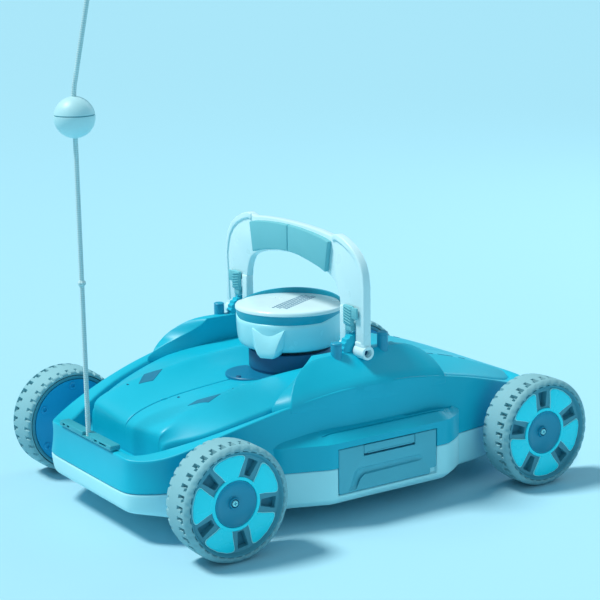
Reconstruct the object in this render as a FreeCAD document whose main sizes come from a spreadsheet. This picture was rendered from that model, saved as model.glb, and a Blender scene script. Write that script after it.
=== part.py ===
import FreeCAD, Part
import os
import re
import math
import Sketcher

# Cordless four-wheeled pool cleaner with a tilting carry handle, side filter drawers,
# a raised outlet head and a tether rope with a ball float. Millimetres, +Z up, nose to -Y.

DOC = FreeCAD.newDocument("PoolCleaner")
V = FreeCAD.Vector
SHEET = DOC.addObject("Spreadsheet::Sheet", "Sizes")
SUBPARTS = []

SIZES = {
    # wheels and axles
    "wheel_radius": 60, "wheel_width": 41, "track_half": 195.6, "axle_y": 198.1,
    "rim_radius": 53.35, "tyre_bore": 53.4, "axle_radius": 4, "hub_bore": 4.06,
    "hub_radius": 13, "web_inner": 26, "web_outer": 36, "cap_radius": 24.6,
    "petal_inner": 25.2, "petal_outer": 48.5, "cover_radius": 49.2,
    # shells
    "wall": 3, "deck_drop": 12, "rim_width": 8, "gutter": 20, "shell_gap": 0.15,
    "nose_y": 262, "recess_half": 72, "recess_floor": 68, "recess_depth": 34,
    # side pods and drawers
    "pod_x": 165, "pod_top": 99, "seam_z": 62, "hull_floor": 22,
    "door_front": 165.4, "door_back": 161.6, "door_low": 33, "door_high": 81,
    "door_y0": -57.6, "door_y1": 68.7, "tray_inner_x": 100, "tray_low": 37, "tray_high": 72,
    "latch_y0": -26, "latch_y1": 40, "latch_low": 71.4, "tray_wall": 2,
    # handle
    "pivot_z": 169, "handle_depth": 10, "leg_out": 137, "slot_in": 104.4, "slot_out": 119.6,
    "slot_top": 207, "barrel_radius": 7.5, "barrel_in": 119.8, "barrel_out": 138,
    "pin_radius": 3, "pin_bore": 3.06, "pin_end": 127.2, "foot_top": 178,
    "socket_radius": 4.4, "socket_depth": 9,
    "eye_in": 92, "eye_out": 103.4, "thumb_in": 103, "thumb_out": 128, "thumb_low": 197,
    "thumb_high": 217,
    # fins
    "fin_in": 105, "fin_top": 168, "sector_radius": 18, "sector_in": 107, "sector_out": 118,
    "stop_radius": 6, "stop_low": 150, "stop_front_y": -27, "stop_rear_y": 33,
    # outlet head and pump
    "head_y": -11, "head_radius": 62, "neck_radius": 46, "neck_bore": 41, "bowl_base": 150,
    "bowl_top": 189, "lid_low": 196, "lid_high": 202, "ring_radius": 60.5,
    "impeller_radius": 36, "shaft_radius": 3,
    # power pad
    "pad_y": -56, "pad_radius": 31, "pad_top": 129, "button_y": -80, "button_x": 8,
    "button_radius": 3.2,
    # tether
    "rope_radius": 2.5, "rope_hole": 2.55, "float_radius": 21, "float_z": 424, "float_bore": 5,
    "float_seam": 426.5, "bar_low": 91, "bar_top": 97, "bar_half": 57.6, "bar_front": 264,
    "rope_y": -259, "bead_z": 255, "bead_radius": 4.5, "knot_radius": 6,
    # underside intake
    "mouth_half": 60, "mouth_y": 70, "mouth_deep": 18, "plate_low": 18, "lip_low": 9,
    "plate_half": 80, "plate_reach": 100, "pad_half": 66, "pad_reach": 40, "pad_proud": 1.2,
    # sealed inner pieces
    "motor_half": 55, "motor_y0": -58, "motor_y1": 46, "deck_z": 100,
    "battery_half": 62, "battery_y0": 86, "battery_y1": 174, "battery_top": 84,
    "drive_half": 96, "drive_low": 40, "drive_high": 80, "drive_length": 70,
}

for row, (alias, number) in enumerate(SIZES.items(), start=1):
    SHEET.set("A%d" % row, alias)
    SHEET.set("B%d" % row, str(number))
    SHEET.setAlias("B%d" % row, alias)
DOC.recompute()


def linked(text):
    """A formula with every sheet alias written as a reference to the sheet."""
    return re.sub(r"[a-z_]+[a-z0-9_]*", lambda m: "Sizes." + m.group(0), str(text))


def size(text):
    """The present value of a formula of sheet aliases."""
    return float(SHEET.evalExpression(linked(text)))


def bind(obj, **formulas):
    for prop, text in formulas.items():
        obj.setExpression(prop, linked(text))
    return obj


def place(obj, x=0, y=0, z=0, axis=V(0, 0, 1), angle=0):
    """Put an object at a corner or centre given as formulas, turned about an axis."""
    turn = FreeCAD.Rotation(axis, angle)
    obj.Placement = FreeCAD.Placement(V(size(x), size(y), size(z)), turn)
    for name, text in (("x", x), ("y", y), ("z", z)):
        obj.setExpression("Placement.Base." + name, linked(text))
    return obj


def box(x0, x1, y0, y1, z0, z1):
    """A block between two corners given as formulas."""
    block = DOC.addObject("Part::Box", "Block")
    bind(block, Length="(%s) - (%s)" % (x1, x0), Width="(%s) - (%s)" % (y1, y0),
         Height="(%s) - (%s)" % (z1, z0))
    return place(block, x0, y0, z0)


def rod(radius, length, x=0, y=0, z=0, along="z"):
    """A round bar along one axis, starting at x, y, z."""
    bar = DOC.addObject("Part::Cylinder", "Rod")
    bind(bar, Radius=radius, Height=length)
    turns = {"z": (V(0, 0, 1), 0), "x": (V(0, 1, 0), 90), "y": (V(1, 0, 0), -90)}
    axis, angle = turns[along]
    return place(bar, x, y, z, axis, angle)


def ball(radius, x=0, y=0, z=0):
    sphere = DOC.addObject("Part::Sphere", "Ball")
    return place(bind(sphere, Radius=radius), x, y, z)


def fuse(*shapes):
    if len(shapes) == 1:
        return shapes[0]
    joined = DOC.addObject("Part::MultiFuse", "Joined")
    joined.Shapes = list(shapes)
    return joined


def cut(base, *tools):
    left = DOC.addObject("Part::Cut", "Cut")
    left.Base = base
    left.Tool = fuse(*tools)
    return left


def mirrored(source, normal=V(1, 0, 0)):
    twin = DOC.addObject("Part::Mirroring", "Twin")
    twin.Source = source
    twin.Normal = normal
    twin.Base = V(0, 0, 0)
    return twin


def shaped(shape):
    """A shape worked out below from the sheet, as an object of the document."""
    feature = DOC.addObject("Part::Feature", "Shell")
    feature.Shape = shape
    return feature


def swung(obj, degrees, axis=V(1, 0, 0), centre=V(0, 0, 0)):
    """Turn a placed piece about a line through centre."""
    about = FreeCAD.Placement(V(0, 0, 0), FreeCAD.Rotation(axis, degrees), centre)
    for name in "xyz":
        obj.setExpression("Placement.Base." + name, None)
    obj.Placement = about.multiply(obj.Placement)
    return obj


def subpart(obj, label):
    obj.Label = label
    SUBPARTS.append(obj)
    return obj


def origin_plane(body, role):
    return next(f for f in body.Origin.OriginFeatures if f.Role == role)


def outline(body, plane, points):
    """A closed sketch whose corners are formulas of the sheet."""
    sketch = body.newObject("Sketcher::SketchObject", "Outline")
    sketch.AttachmentSupport = [(origin_plane(body, plane), "")]
    sketch.MapMode = "FlatFace"
    corners = [V(size(u), size(v), 0) for u, v in points]
    count = len(points)
    for i in range(count):
        sketch.addGeometry(Part.LineSegment(corners[i], corners[(i + 1) % count]))
    for i in range(count):
        sketch.addConstraint(Sketcher.Constraint("Coincident", i, 2, (i + 1) % count, 1))
    for i, (u, v) in enumerate(points):
        for kind, text in (("DistanceX", u), ("DistanceY", v)):
            spot = sketch.addConstraint(Sketcher.Constraint(kind, -1, 1, i, 1, size(text)))
            sketch.setExpression("Constraints[%d]" % spot, linked(text))
    return sketch


def turned(points, plane="XY_Plane", axis="H_Axis"):
    """A body of revolution: points are (along the axle, radius)."""
    body = DOC.addObject("PartDesign::Body", "Turned")
    sketch = outline(body, plane, points)
    spin = body.newObject("PartDesign::Revolution", "Revolution")
    spin.Profile = sketch
    spin.ReferenceAxis = (sketch, [axis])
    spin.Angle = 360
    body.Tip = spin
    return body


def plate(points, plane, depth):
    """A body padded from an outline, centred on its plane."""
    body = DOC.addObject("PartDesign::Body", "Plate")
    sketch = outline(body, plane, points)
    pad = body.newObject("PartDesign::Pad", "Pad")
    pad.Profile = sketch
    pad.setExpression("Length", linked(depth))
    pad.Midplane = True
    body.Tip = pad
    return body


# ---------------------------------------------------------------- hull and shells
# Stations along the length, front half: (distance from the middle, shoulder half-width,
# shoulder height, seam half-width, seam height, floor height, crest height, valley height).
STATIONS = [
    (262, 87, 86, 88, 54, 31, 92, 90),
    (239, 108, 89, 110, 55, 30, 100, 97),
    (214, 121, 97, 124, 57, 24, 111, 105),
    (178, 129, 110, 133, 62, 22, 124, 119),
    (133, 140, 123, 143, 62, 22, 132, 124),
    (84, 146, 134, 148, 62, 22, 140, 127),
    (40, 150, 140, 151, 62, 22, 145, 128),
]


def both_ways():
    """The stations from the nose to the tail, with their place along Y."""
    front = [(-s[0],) + s[1:] for s in STATIONS]
    rear = [(s[0],) + s[1:] for s in reversed(STATIONS)]
    return front + rear


def loft(sections):
    wires = []
    for points in sections:
        wires.append(Part.makePolygon(points + [points[0]]))
    return Part.makeLoft(wires, True, True)


def symmetric(half, y):
    """A closed section at y from its right half, listed from the outside to the middle."""
    right = [V(x, y, z) for x, z in half]
    left = [V(-x, y, z) for x, z in reversed(half) if x > 0]
    return right + left


def shell_outer():
    """The upper shell's outer form: skirt, shoulder rim and the gutter inside it."""
    rim, drop = size("rim_width"), size("deck_drop")
    sections = []
    for y, xs, zs, xl, zb, floor, crest, valley in both_ways():
        half = [(xl, zb), (xs, zs), (xs - rim + 2, zs), (xs - rim, zs - drop)]
        sections.append(symmetric(half, y))
    return loft(sections)


def shell_inner():
    """The hollow under the upper shell."""
    wall, drop = size("wall"), size("deck_drop")
    sections = []
    stations = both_ways()
    for i, (y, xs, zs, xl, zb, floor, crest, valley) in enumerate(stations):
        inward = wall if i == 0 else -wall if i == len(stations) - 1 else 0
        half = [(xl - wall, zb - 1), (xs - wall - 0.5, zs - drop - wall)]
        sections.append(symmetric(half, y + inward))
    return loft(sections)


def cover_form(outer=True):
    """The domed cover between the gutters, or the hollow under it."""
    gutter, drop, wall = size("gutter"), size("deck_drop"), size("wall")
    crest_x, side = 64, 0 if outer else size("wall")
    sections = []
    for y, xs, zs, xl, zb, floor, crest, valley in both_ways():
        if y < -214:
            continue
        base = zs - drop - (0 if outer else 1)
        lift = 0 if outer else wall
        reach = min(crest_x, xs - gutter - 22) - side
        top = max(crest - lift, base + 0.5)
        half = [(xs - gutter - side, base), (reach, top), (0, max(valley - lift, base + 0.4))]
        shift = 0 if outer else (wall if y == -214 else -wall if y == 262 else 0)
        sections.append(symmetric(half, y + shift))
    return loft(sections)


def hull_form(outer=True):
    """The white tub under the seam, or its hollow."""
    wall, gap = size("wall"), size("shell_gap")
    sections = []
    stations = both_ways()
    for i, (y, xs, zs, xl, zb, floor, crest, valley) in enumerate(stations):
        if outer:
            half = [(xl - 5, floor), (xl, floor + 8), (xl, zb - gap)]
            sections.append(symmetric(half, y))
        else:
            inward = wall if i == 0 else -wall if i == len(stations) - 1 else 0
            half = [(xl - 5 - wall, floor + wall), (xl - wall, floor + 8 + wall), (xl - wall, zb + 1)]
            sections.append(symmetric(half, y + inward))
    return loft(sections)


def pod_prism(inset, low, high, top_slope=0):
    """One side pod in plan, between two heights; its top rises inwards by top_slope."""
    x = size("pod_x") - inset
    plan = [(120, -150), (148 - inset, -147 + inset), (157 - inset, -122 + inset), (x, -88 + inset),
            (x, 86 - inset), (157 - inset, 122 - inset), (148 - inset, 147 - inset), (120, 150)]
    face = Part.Face(Part.makePolygon([V(px, py, low) for px, py in plan + plan[:1]]))
    pod = face.extrude(V(0, 0, high - low))
    if top_slope:
        corners = [(180, high - top_slope), (120, high), (120, high + 40), (180, high + 40)]
        wedge = Part.makePolygon([V(wx, -160, wz) for wx, wz in corners + corners[:1]])
        pod = pod.cut(Part.Face(wedge).extrude(V(0, 320, 0)))
    return pod


def on_both_sides(shape):
    return shape.fuse(shape.mirror(V(0, 0, 0), V(1, 0, 0)))


def block(x0, x1, y0, y1, z0, z1):
    return Part.makeBox(x1 - x0, y1 - y0, z1 - z0, V(x0, y0, z0))


def drawer_cuts():
    """Room for both drawers: the door's recess and the mouth behind it."""
    y0, y1, low, high = size("door_y0"), size("door_y1"), size("door_low"), size("door_high")
    recess = block(size("door_back") - 0.2, 180, y0 - 0.6, y1 + 0.6, low - 0.6, high + 0.6)
    mouth = block(140, 180, y0 + 6, y1 - 6, size("tray_low") - 1, size("tray_high") + 1)
    return on_both_sides(recess.fuse(mouth))


def axle_holes():
    radius, y = size("axle_radius") + 0.05, size("axle_y")
    z = size("wheel_radius")
    bores = [Part.makeCylinder(radius, 400, V(-200, side * y, z), V(1, 0, 0)) for side in (-1, 1)]
    return bores[0].fuse(bores[1])


def make_upper_shell():
    seam, pod_top, wall = size("seam_z"), size("pod_top"), size("wall")
    outer = shell_outer().fuse(on_both_sides(pod_prism(0, seam, pod_top + 9, 13)))
    inner = shell_inner().fuse(on_both_sides(pod_prism(wall, seam - 1, pod_top + 6, 13)))
    nose, half, floor = size("nose_y"), size("recess_half"), size("recess_floor")
    back = -nose + 12 + size("recess_depth")
    tub = block(-half - wall, half + wall, -nose + 1, back + wall, floor - wall, 100)
    tub = tub.common(shell_outer())
    front_wall = block(-half - 6, half + 6, -nose, -nose + 12, size("seam_z") + 4, size("bar_low"))
    tail_lip = block(-60, 60, nose - 1, nose + 2, 64, 73)
    shell = outer.cut(inner).fuse(tub).fuse(front_wall).fuse(tail_lip)
    shell = shell.cut(block(-half, half, -nose + 12, back, floor, 130))
    # the deck inside the gutters is open where the domed cover sits
    opening = []
    for y, xs, zs, xl, zb, floor_z, crest, valley in both_ways():
        if abs(y) < 225:
            reach = xs - size("gutter") - 6
            y_open = max(y, back + wall + 4)
            opening.append([V(reach, y_open, 60), V(reach, y_open, 170), V(-reach, y_open, 170),
                            V(-reach, y_open, 60)])
    opening = loft(opening)
    under_tub = block(-200, 200, -300, back + wall, 0, 200)
    shell = shell.cut(opening.cut(under_tub))
    shell = shell.cut(drawer_cuts()).cut(axle_holes())
    return shell.removeSplitter()


def make_lower_hull():
    wall, seam, floor = size("wall"), size("seam_z"), size("hull_floor")
    outer = hull_form(True).fuse(on_both_sides(pod_prism(0, floor, seam - size("shell_gap"))))
    inner = hull_form(False).fuse(on_both_sides(pod_prism(wall, floor + wall, seam + 1)))
    hull = outer.cut(inner).cut(drawer_cuts()).cut(axle_holes())
    mouth_y, deep, half = size("mouth_y"), size("mouth_deep") / 2, size("mouth_half")
    for end in (-1, 1):
        hull = hull.cut(block(-half, half, end * mouth_y - deep, end * mouth_y + deep, 0, floor + wall + 1))
    return hull.removeSplitter()


def make_top_cover():
    cover = cover_form(True).cut(cover_form(False))
    neck = Part.makeCylinder(size("neck_radius") + 0.1, 100, V(0, size("head_y"), 90))
    pad = Part.makeCylinder(size("pad_radius") + 0.1, 100, V(0, size("pad_y"), 90))
    return cover.cut(neck).cut(pad).removeSplitter()


subpart(shaped(make_upper_shell()), "upper_shell")
subpart(shaped(make_lower_hull()), "lower_hull")
subpart(shaped(make_top_cover()), "top_cover")


# ---------------------------------------------------------------- fins with the tilt stops
def make_fin():
    """A solid wing that carries the handle's pivot; it ends on the shoulder line."""
    inner, top, low = size("fin_in"), size("fin_top"), 120
    ridge = [(118.5, -45), (118.5, -20), (118.5, 35), (118.5, 62)]
    shoulder = [(144.5, -100, 131), (150, -40, 140), (150, 40, 140), (144.5, 96, 132)]
    foot = []
    for (rx, ry), (sx, sy, sz) in zip(ridge, shoulder):
        reach = (top - low) / (top - sz)
        foot.append(V(rx + (sx - rx) * reach, ry + (sy - ry) * reach, low))
    foot += [V(inner - 1, 107, low), V(inner - 1, -116, low)]
    crown = [V(x, y, top) for x, y in ridge] + [V(inner, 62, top), V(inner, -45, top)]
    wing = loft_between(foot, crown)
    plan = [V(station[1], station[0], 0) for station in both_ways()]
    plan += [V(60, 262, 0), V(60, -262, 0)]
    prism = Part.Face(Part.makePolygon(plan + plan[:1])).extrude(V(0, 0, 300))
    wing = wing.common(prism).cut(shell_outer()).cut(cover_form(True))
    return wing.removeSplitter()


def loft_between(low, high):
    wires = [Part.makePolygon(ring + [ring[0]]) for ring in (low, high)]
    return Part.makeLoft(wires, True, True)


def fin():
    wing = shaped(make_fin())
    length = "sector_out - sector_in"
    sector = rod("sector_radius", length, "sector_in", 0, "pivot_z", "x")
    stops = [rod("stop_radius", "pivot_z + %d - stop_low" % rise, "sector_out", y, "stop_low")
             for rise, y in ((15, "stop_front_y"), (19, "stop_rear_y"))]
    return cut(fuse(wing, sector, *stops),
               rod("barrel_radius + 0.8", 30, "slot_out - 0.5", 0, "pivot_z", "x"),
               rod("pin_radius + 0.02", 60, "sector_in - 10", 0, "pivot_z", "x"))


left_fin = subpart(fin(), "fin_left")
subpart(mirrored(left_fin), "fin_right")

left_pin = subpart(rod("pin_radius", "pin_end - eye_in", "eye_in", 0, "pivot_z", "x"), "pivot_pin_left")
subpart(mirrored(left_pin), "pivot_pin_right")

# ---------------------------------------------------------------- carry handle
HANDLE_OUTER = [("leg_out", "pivot_z"), ("leg_out", "pivot_z + 77"), ("leg_out - 3", "pivot_z + 89"),
                ("leg_out - 10", "pivot_z + 100"), ("leg_out - 22", "pivot_z + 110"),
                ("leg_out - 39", "pivot_z + 117"), ("60", "pivot_z + 121")]
HANDLE_INNER = [("40", "pivot_z + 82.5"), ("77", "pivot_z + 72"), ("88", "pivot_z + 61"),
                ("92", "pivot_z + 46"), ("92", "pivot_z")]


def flipped(points):
    return [("-(%s)" % u, v) for u, v in reversed(points)]


def handle_frame():
    """The white arch with forked legs: each inner leg ends in an eye, each outer leg on a foot."""
    top, arch = [("0", "pivot_z + 123")], [("0", "pivot_z + 86")]
    ring = HANDLE_OUTER + top + flipped(HANDLE_OUTER) + flipped(HANDLE_INNER) + arch + HANDLE_INNER
    arch_plate = plate(ring, "XZ_Plane", "handle_depth")
    eyes, holes = [], []
    for left in (True, False):
        eye_x = "eye_in" if left else "-eye_out"
        eyes.append(rod("barrel_radius", "eye_out - eye_in", eye_x, 0, "pivot_z", "x"))
        near, far = ("slot_in - 1", "slot_out") if left else ("-slot_out", "-slot_in + 1")
        holes.append(box(near, far, -20, 20, 150, "slot_top"))
        near, far = ("slot_out - 1", "leg_out + 1") if left else ("-leg_out - 1", "-slot_out + 1")
        holes.append(box(near, far, -20, 20, 150, "foot_top"))
        bore_x = "eye_in - 2" if left else "-slot_in - 2"
        holes.append(rod("pin_bore", "slot_in - eye_in + 4", bore_x, 0, "pivot_z", "x"))
    return cut(fuse(arch_plate, *eyes), *holes)


def handle_foot():
    """The end of an outer leg: a barrel with the pin's bore inside and a blind socket outside."""
    block = box("slot_out", "leg_out", "-handle_depth / 2", "handle_depth / 2", "pivot_z", "foot_top")
    barrel = rod("barrel_radius", "barrel_out - barrel_in", "barrel_in", 0, "pivot_z", "x")
    pin_hole = rod("pin_bore", "pin_end + 0.2 - slot_out + 2", "slot_out - 2", 0, "pivot_z", "x")
    socket = rod("socket_radius", "socket_depth + 1", "barrel_out - socket_depth", 0, "pivot_z", "x")
    return cut(fuse(block, barrel), pin_hole, socket)


def handle_grip():
    """The soft grey pad let into the front of the arch."""
    top = [("78", "pivot_z + 113"), ("40", "pivot_z + 117"), ("0", "pivot_z + 119")]
    low = [("0", "pivot_z + 88.5"), ("40", "pivot_z + 85"), ("75", "pivot_z + 75.5")]
    ring = top + flipped(top[:2]) + flipped(low[1:]) + low
    pad = plate(ring, "XZ_Plane", 4)
    return place(pad, 0, "-handle_depth / 2 - 2.05")


def lock_slider():
    """A thumb slider on the leg with a tongue that rides in the fork above the sector."""
    face = "-handle_depth / 2 - 0.3"
    thumb = box("thumb_in", "thumb_out", face + " - 4", face, "thumb_low", "thumb_high")
    tongue = box("slot_in + 1.2", "slot_out - 1.2", face + " - 4", 4,
                 "pivot_z + sector_radius + 1.6", "slot_top - 9")
    return fuse(thumb, tongue)


subpart(handle_frame(), "handle_frame")
subpart(handle_grip(), "handle_grip")
left_foot = subpart(handle_foot(), "handle_foot_left")
subpart(mirrored(left_foot), "handle_foot_right")
left_lock = subpart(lock_slider(), "lock_left")
subpart(mirrored(left_lock), "lock_right")

# ---------------------------------------------------------------- side filter drawers
def drawer():
    """A door with a latch notch and a finger hollow, in one piece with its tray."""
    notch = "latch_low - 2.6"
    ring = [("door_y0", "door_low"), ("door_y1 - 8", "door_low"), ("door_y1 - 8", "door_low + 6"),
            ("door_y1", "door_low + 6"), ("door_y1", "door_high"), ("latch_y1 + 0.4", "door_high"),
            ("latch_y1 + 0.4", notch), ("latch_y0 - 0.4", notch), ("latch_y0 - 0.4", "door_high"),
            ("door_y0", "door_high")]
    door = plate(ring, "YZ_Plane", "door_front - door_back")
    place(door, "(door_front + door_back) / 2")
    hollow = box("door_front - 1.6", 180, -40, 52, 45, 56)
    tray = box("tray_inner_x", "door_back + 0.5", "door_y0 + 7.6", "door_y1 - 7.6", "tray_low",
               "tray_high - 5")
    room = box("tray_inner_x + tray_wall", "door_back - tray_wall", "door_y0 + 7.6 + tray_wall",
               "door_y1 - 7.6 - tray_wall", "tray_low + tray_wall", "tray_high + 9")
    return fuse(cut(door, hollow), cut(tray, room))


def filter_liner():
    """A fine-mesh liner that lies in the tray, open at its top."""
    skin = 1.2
    y0, y1 = "door_y0 + 10.5", "door_y1 - 10.5"
    outside = box("tray_inner_x + 3", "door_back - 3", y0, y1, "tray_low + 2.2", "tray_high - 6")
    inside = box("tray_inner_x + 3 + %s" % skin, "door_back - 3 - %s" % skin, y0 + " + %s" % skin,
                 y1 + " - %s" % skin, "tray_low + 2.2 + %s" % skin, "tray_high")
    return cut(outside, inside)


def latch():
    tab = box("door_back + 0.2", "door_front", "latch_y0", "latch_y1", "latch_low", "door_high - 0.2")
    lip = box("door_front - 0.1", "door_front + 0.5", "latch_y0 + 4", "latch_y1 - 4", "latch_low",
              "latch_low + 1.5")
    return fuse(tab, lip)


for maker, name in ((drawer, "drawer"), (filter_liner, "filter"), (latch, "latch")):
    left_piece = subpart(maker(), name + "_left")
    subpart(mirrored(left_piece), name + "_right")

# ---------------------------------------------------------------- outlet head and pump
def head_piece(points):
    return place(turned(points, "XZ_Plane", "V_Axis"), 0, "head_y")


neck = cut(rod("neck_radius", "bowl_base - deck_z", 0, "head_y", "deck_z"),
           rod("neck_bore", 80, 0, "head_y", 80))
subpart(neck, "head_neck")
bowl = head_piece([("neck_bore", "bowl_base"), ("52", "bowl_base"), ("59", "bowl_base + 13"),
                   ("head_radius", "bowl_base + 26"), ("head_radius", "bowl_top"),
                   ("head_radius - 3.5", "bowl_top"), ("head_radius - 3.5", "bowl_base + 27"),
                   ("55.5", "bowl_base + 15"), ("49", "bowl_base + 3.5"), ("neck_bore", "bowl_base + 3.5")])
HEAD_AXIS = V(0, size("head_y"), 0)
SPOUT_TURN = -61
spout = swung(box("neck_radius + 1", 58, "head_y - 8", "head_y + 8", "bowl_base - 8", "bowl_base + 6"),
              SPOUT_TURN, V(0, 0, 1), HEAD_AXIS)
bowl_room = rod("50", 20, 0, "head_y", "bowl_base - 0.01")
subpart(fuse(bowl, cut(spout, bowl_room)), "head_bowl")
subpart(head_piece([("ring_radius - 3", "bowl_top"), ("ring_radius", "bowl_top"),
                    ("ring_radius", "lid_low"), ("ring_radius - 3", "lid_low")]), "head_ring")
subpart(head_piece([("0", "lid_low"), ("head_radius - 2", "lid_low"), ("head_radius", "lid_low + 2"),
                    ("head_radius - 1", "lid_high - 1"), ("54", "lid_high + 1"), ("0", "lid_high + 2")]),
        "head_lid")

pump = [rod(18, 18, 0, "head_y", "deck_z"), rod("shaft_radius", 38, 0, "head_y", "deck_z")]
blades = [rod(9, 12, 0, "head_y", 122), rod("impeller_radius", 2, 0, "head_y", 122)]
for turn in range(5):
    blade = box(8, "impeller_radius", "head_y - 0.8", "head_y + 0.8", 123, 134)
    blades.append(swung(blade, 72 * turn, V(0, 0, 1), HEAD_AXIS))
subpart(cut(fuse(*blades), rod("shaft_radius + 0.06", 60, 0, "head_y", 100)), "impeller")

# ---------------------------------------------------------------- power pad and button
pad_plug = rod("pad_radius", "pad_top - 121", 0, "pad_y", 121)
subpart(cut(pad_plug, rod("neck_radius + 0.3", 60, 0, "head_y", 100),
            rod("button_radius + 0.3", 60, "button_x", "button_y", 100)), "power_pad")
subpart(rod("button_radius", "pad_top + 0.8 - 122", "button_x", "button_y", 122), "power_button")

# ---------------------------------------------------------------- sealed inner pieces
INNER_FLOOR = "hull_floor + wall + 0.2"
motor_case = box("-motor_half", "motor_half", "motor_y0", "motor_y1", INNER_FLOOR, "deck_z")
subpart(fuse(motor_case, *pump), "motor_box")
subpart(box("-battery_half", "battery_half", "battery_y0", "battery_y1", INNER_FLOOR, "battery_top"),
        "battery_pack")
subpart(box("-drive_half", "drive_half", "-axle_y + 6", "-axle_y + 6 + drive_length",
            "drive_low", "drive_high"), "drive_unit")

# ---------------------------------------------------------------- underside intake
def intake_mouth(end, low, high):
    """The slot through the floor at one end of the intake plate."""
    middle = "%d * mouth_y" % end
    return box("-mouth_half", "mouth_half", middle + " - mouth_deep / 2",
               middle + " + mouth_deep / 2", low, high)


def intake_lip(end):
    """A rubber rim round one mouth with two wiper strips that hang from it."""
    middle, out = "%d * mouth_y" % end, "mouth_deep / 2 + 4"
    rim = cut(box("-mouth_half - 2", "mouth_half + 2", middle + " - (%s)" % out, middle + " + " + out,
                  "plate_low - 1", "plate_low"), intake_mouth(end, 10, 30))
    strips = []
    for side in ("-", "+"):
        edge = "%s %s (%s)" % (middle, side, out)
        y0, y1 = (edge, edge + " + 2") if side == "-" else (edge + " - 2", edge)
        strips.append(box("-mouth_half - 2", "mouth_half + 2", y0, y1, "lip_low", "plate_low"))
    return fuse(rim, *strips)


intake = box("-plate_half", "plate_half", "-plate_reach", "plate_reach", "plate_low", "hull_floor - 0.1")
rest_pad = box("-pad_half", "pad_half", "-pad_reach", "pad_reach", "plate_low - pad_proud", "plate_low + 1")
subpart(cut(fuse(intake, rest_pad), intake_mouth(-1, 10, 30), intake_mouth(1, 10, 30)), "underside_plate")
subpart(intake_lip(-1), "intake_lip_front")
subpart(intake_lip(1), "intake_lip_rear")

# ---------------------------------------------------------------- wheels and axles
for sign, name in ((-1, "front"), (1, "rear")):
    half_length = "track_half - wheel_width + web_outer - 5.4"
    subpart(rod("axle_radius", "2 * (%s)" % half_length, "-(%s)" % half_length, "%d * axle_y" % sign,
                "wheel_radius", "x"), "axle_" + name)


def wheel_pieces():
    """One wheel about the X axis, its inner side at x = 0."""
    rim = turned([("0.4", "hub_bore"), ("0.4", "hub_radius"), ("web_inner", "hub_radius"),
                  ("web_inner", "rim_radius - 4"), ("0", "rim_radius - 4"), ("0", "rim_radius"),
                  ("wheel_width - 2", "rim_radius"), ("wheel_width - 2", "rim_radius - 2.5"),
                  ("web_outer", "rim_radius - 4.5"), ("web_outer", "cap_radius + 0.2"),
                  ("web_outer - 5", "cap_radius + 0.2"), ("web_outer - 5", "hub_bore")])
    pockets = []
    for k in range(5):
        pocket = box("web_outer - 6", "web_outer + 2", -4.5, 4.5, 31, 46)
        pockets.append(swung(pocket, 72 * k))
    rim = cut(rim, *pockets)
    tyre = turned([("0", "tyre_bore"), ("0", "wheel_radius - 3.5"), ("4", "wheel_radius - 0.9"),
                   ("12", "wheel_radius"), ("29", "wheel_radius"), ("37", "wheel_radius - 0.9"),
                   ("wheel_width", "wheel_radius - 3.6"), ("wheel_width", "tyre_bore + 1"),
                   ("wheel_width - 2", "tyre_bore")])
    lugs = [swung(box("wheel_width - 10", "wheel_width + 2", -1.4, 1.4, "wheel_radius - 3",
                      "wheel_radius + 2"), 360 * k / 34) for k in range(34)]
    tyre = cut(tyre, *lugs)
    cap = turned([("web_outer - 5", "0"), ("web_outer - 5", "cap_radius"), ("web_outer - 1", "cap_radius"),
                  ("web_outer - 3", "cap_radius - 4"), ("web_outer - 3.5", "6"), ("web_outer - 1.5", "5"),
                  ("web_outer - 1.5", "0")])
    face = turned([("web_outer", "petal_inner"), ("web_outer", "petal_inner + 3"),
                   ("web_outer + 1.5", "petal_inner + 3"), ("web_outer + 1.5", "petal_inner")])
    petals = [swung(petal(), 72 * k + 36) for k in range(5)]
    face = fuse(face, *petals)
    cover = turned([("0", "hub_radius + 0.2"), ("0", "cover_radius"), ("3", "cover_radius"),
                    ("3", "hub_radius + 0.2")])
    bosses = [swung(rod(4, "1.2", "-0.8", 0, 42.5, "x"), 60 * k) for k in range(6)]
    cover = fuse(cover, *bosses)
    return {"rim": rim, "tyre": tyre, "cap": cap, "face": face, "cover": cover}


def petal():
    """One bright sector of the wheel face, pointing up, wider at its outer end."""
    half = [("17", "petal_outer - 5"), ("4", "petal_inner + 2")]
    ring = flipped(half) + [("-12", "petal_outer - 2"), ("0", "petal_outer"),
                            ("12", "petal_outer - 2")] + half
    leaf = plate(ring, "YZ_Plane", "1.5")
    return place(leaf, "web_outer + 0.75")


MASTER = wheel_pieces()
CORNERS = [("front_left", 1, -1), ("front_right", -1, -1), ("rear_left", 1, 1), ("rear_right", -1, 1)]
for corner, side, end in CORNERS:
    for piece, master in MASTER.items():
        source = master if side > 0 else mirrored(master)
        copy = DOC.addObject("Part::Compound", "WheelPiece")
        copy.Links = [source]
        x = "track_half - wheel_width" if side > 0 else "-(track_half - wheel_width)"
        place(copy, x, "%d * axle_y" % end, "wheel_radius")
        subpart(copy, "%s_%s" % (piece, corner))

# ---------------------------------------------------------------- tether, bead and float
bar = box("-bar_half", "bar_half", "-bar_front", "-bar_front + 12", "bar_low + 0.1", "bar_top")
slots = [box(x, "%s + 9" % x, "-bar_front - 1", "-bar_front + 3", "bar_low + 2", "bar_top - 1.5")
         for x in (-44, 24, 36)]
subpart(cut(bar, rod("rope_hole", 20, 0, "rope_y", 88), *slots), "anchor_bar")

ROPE_ROUTE = [V(0, -259, 92), V(0, -259, 450), V(11.5, -241.5, 558)]


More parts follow.
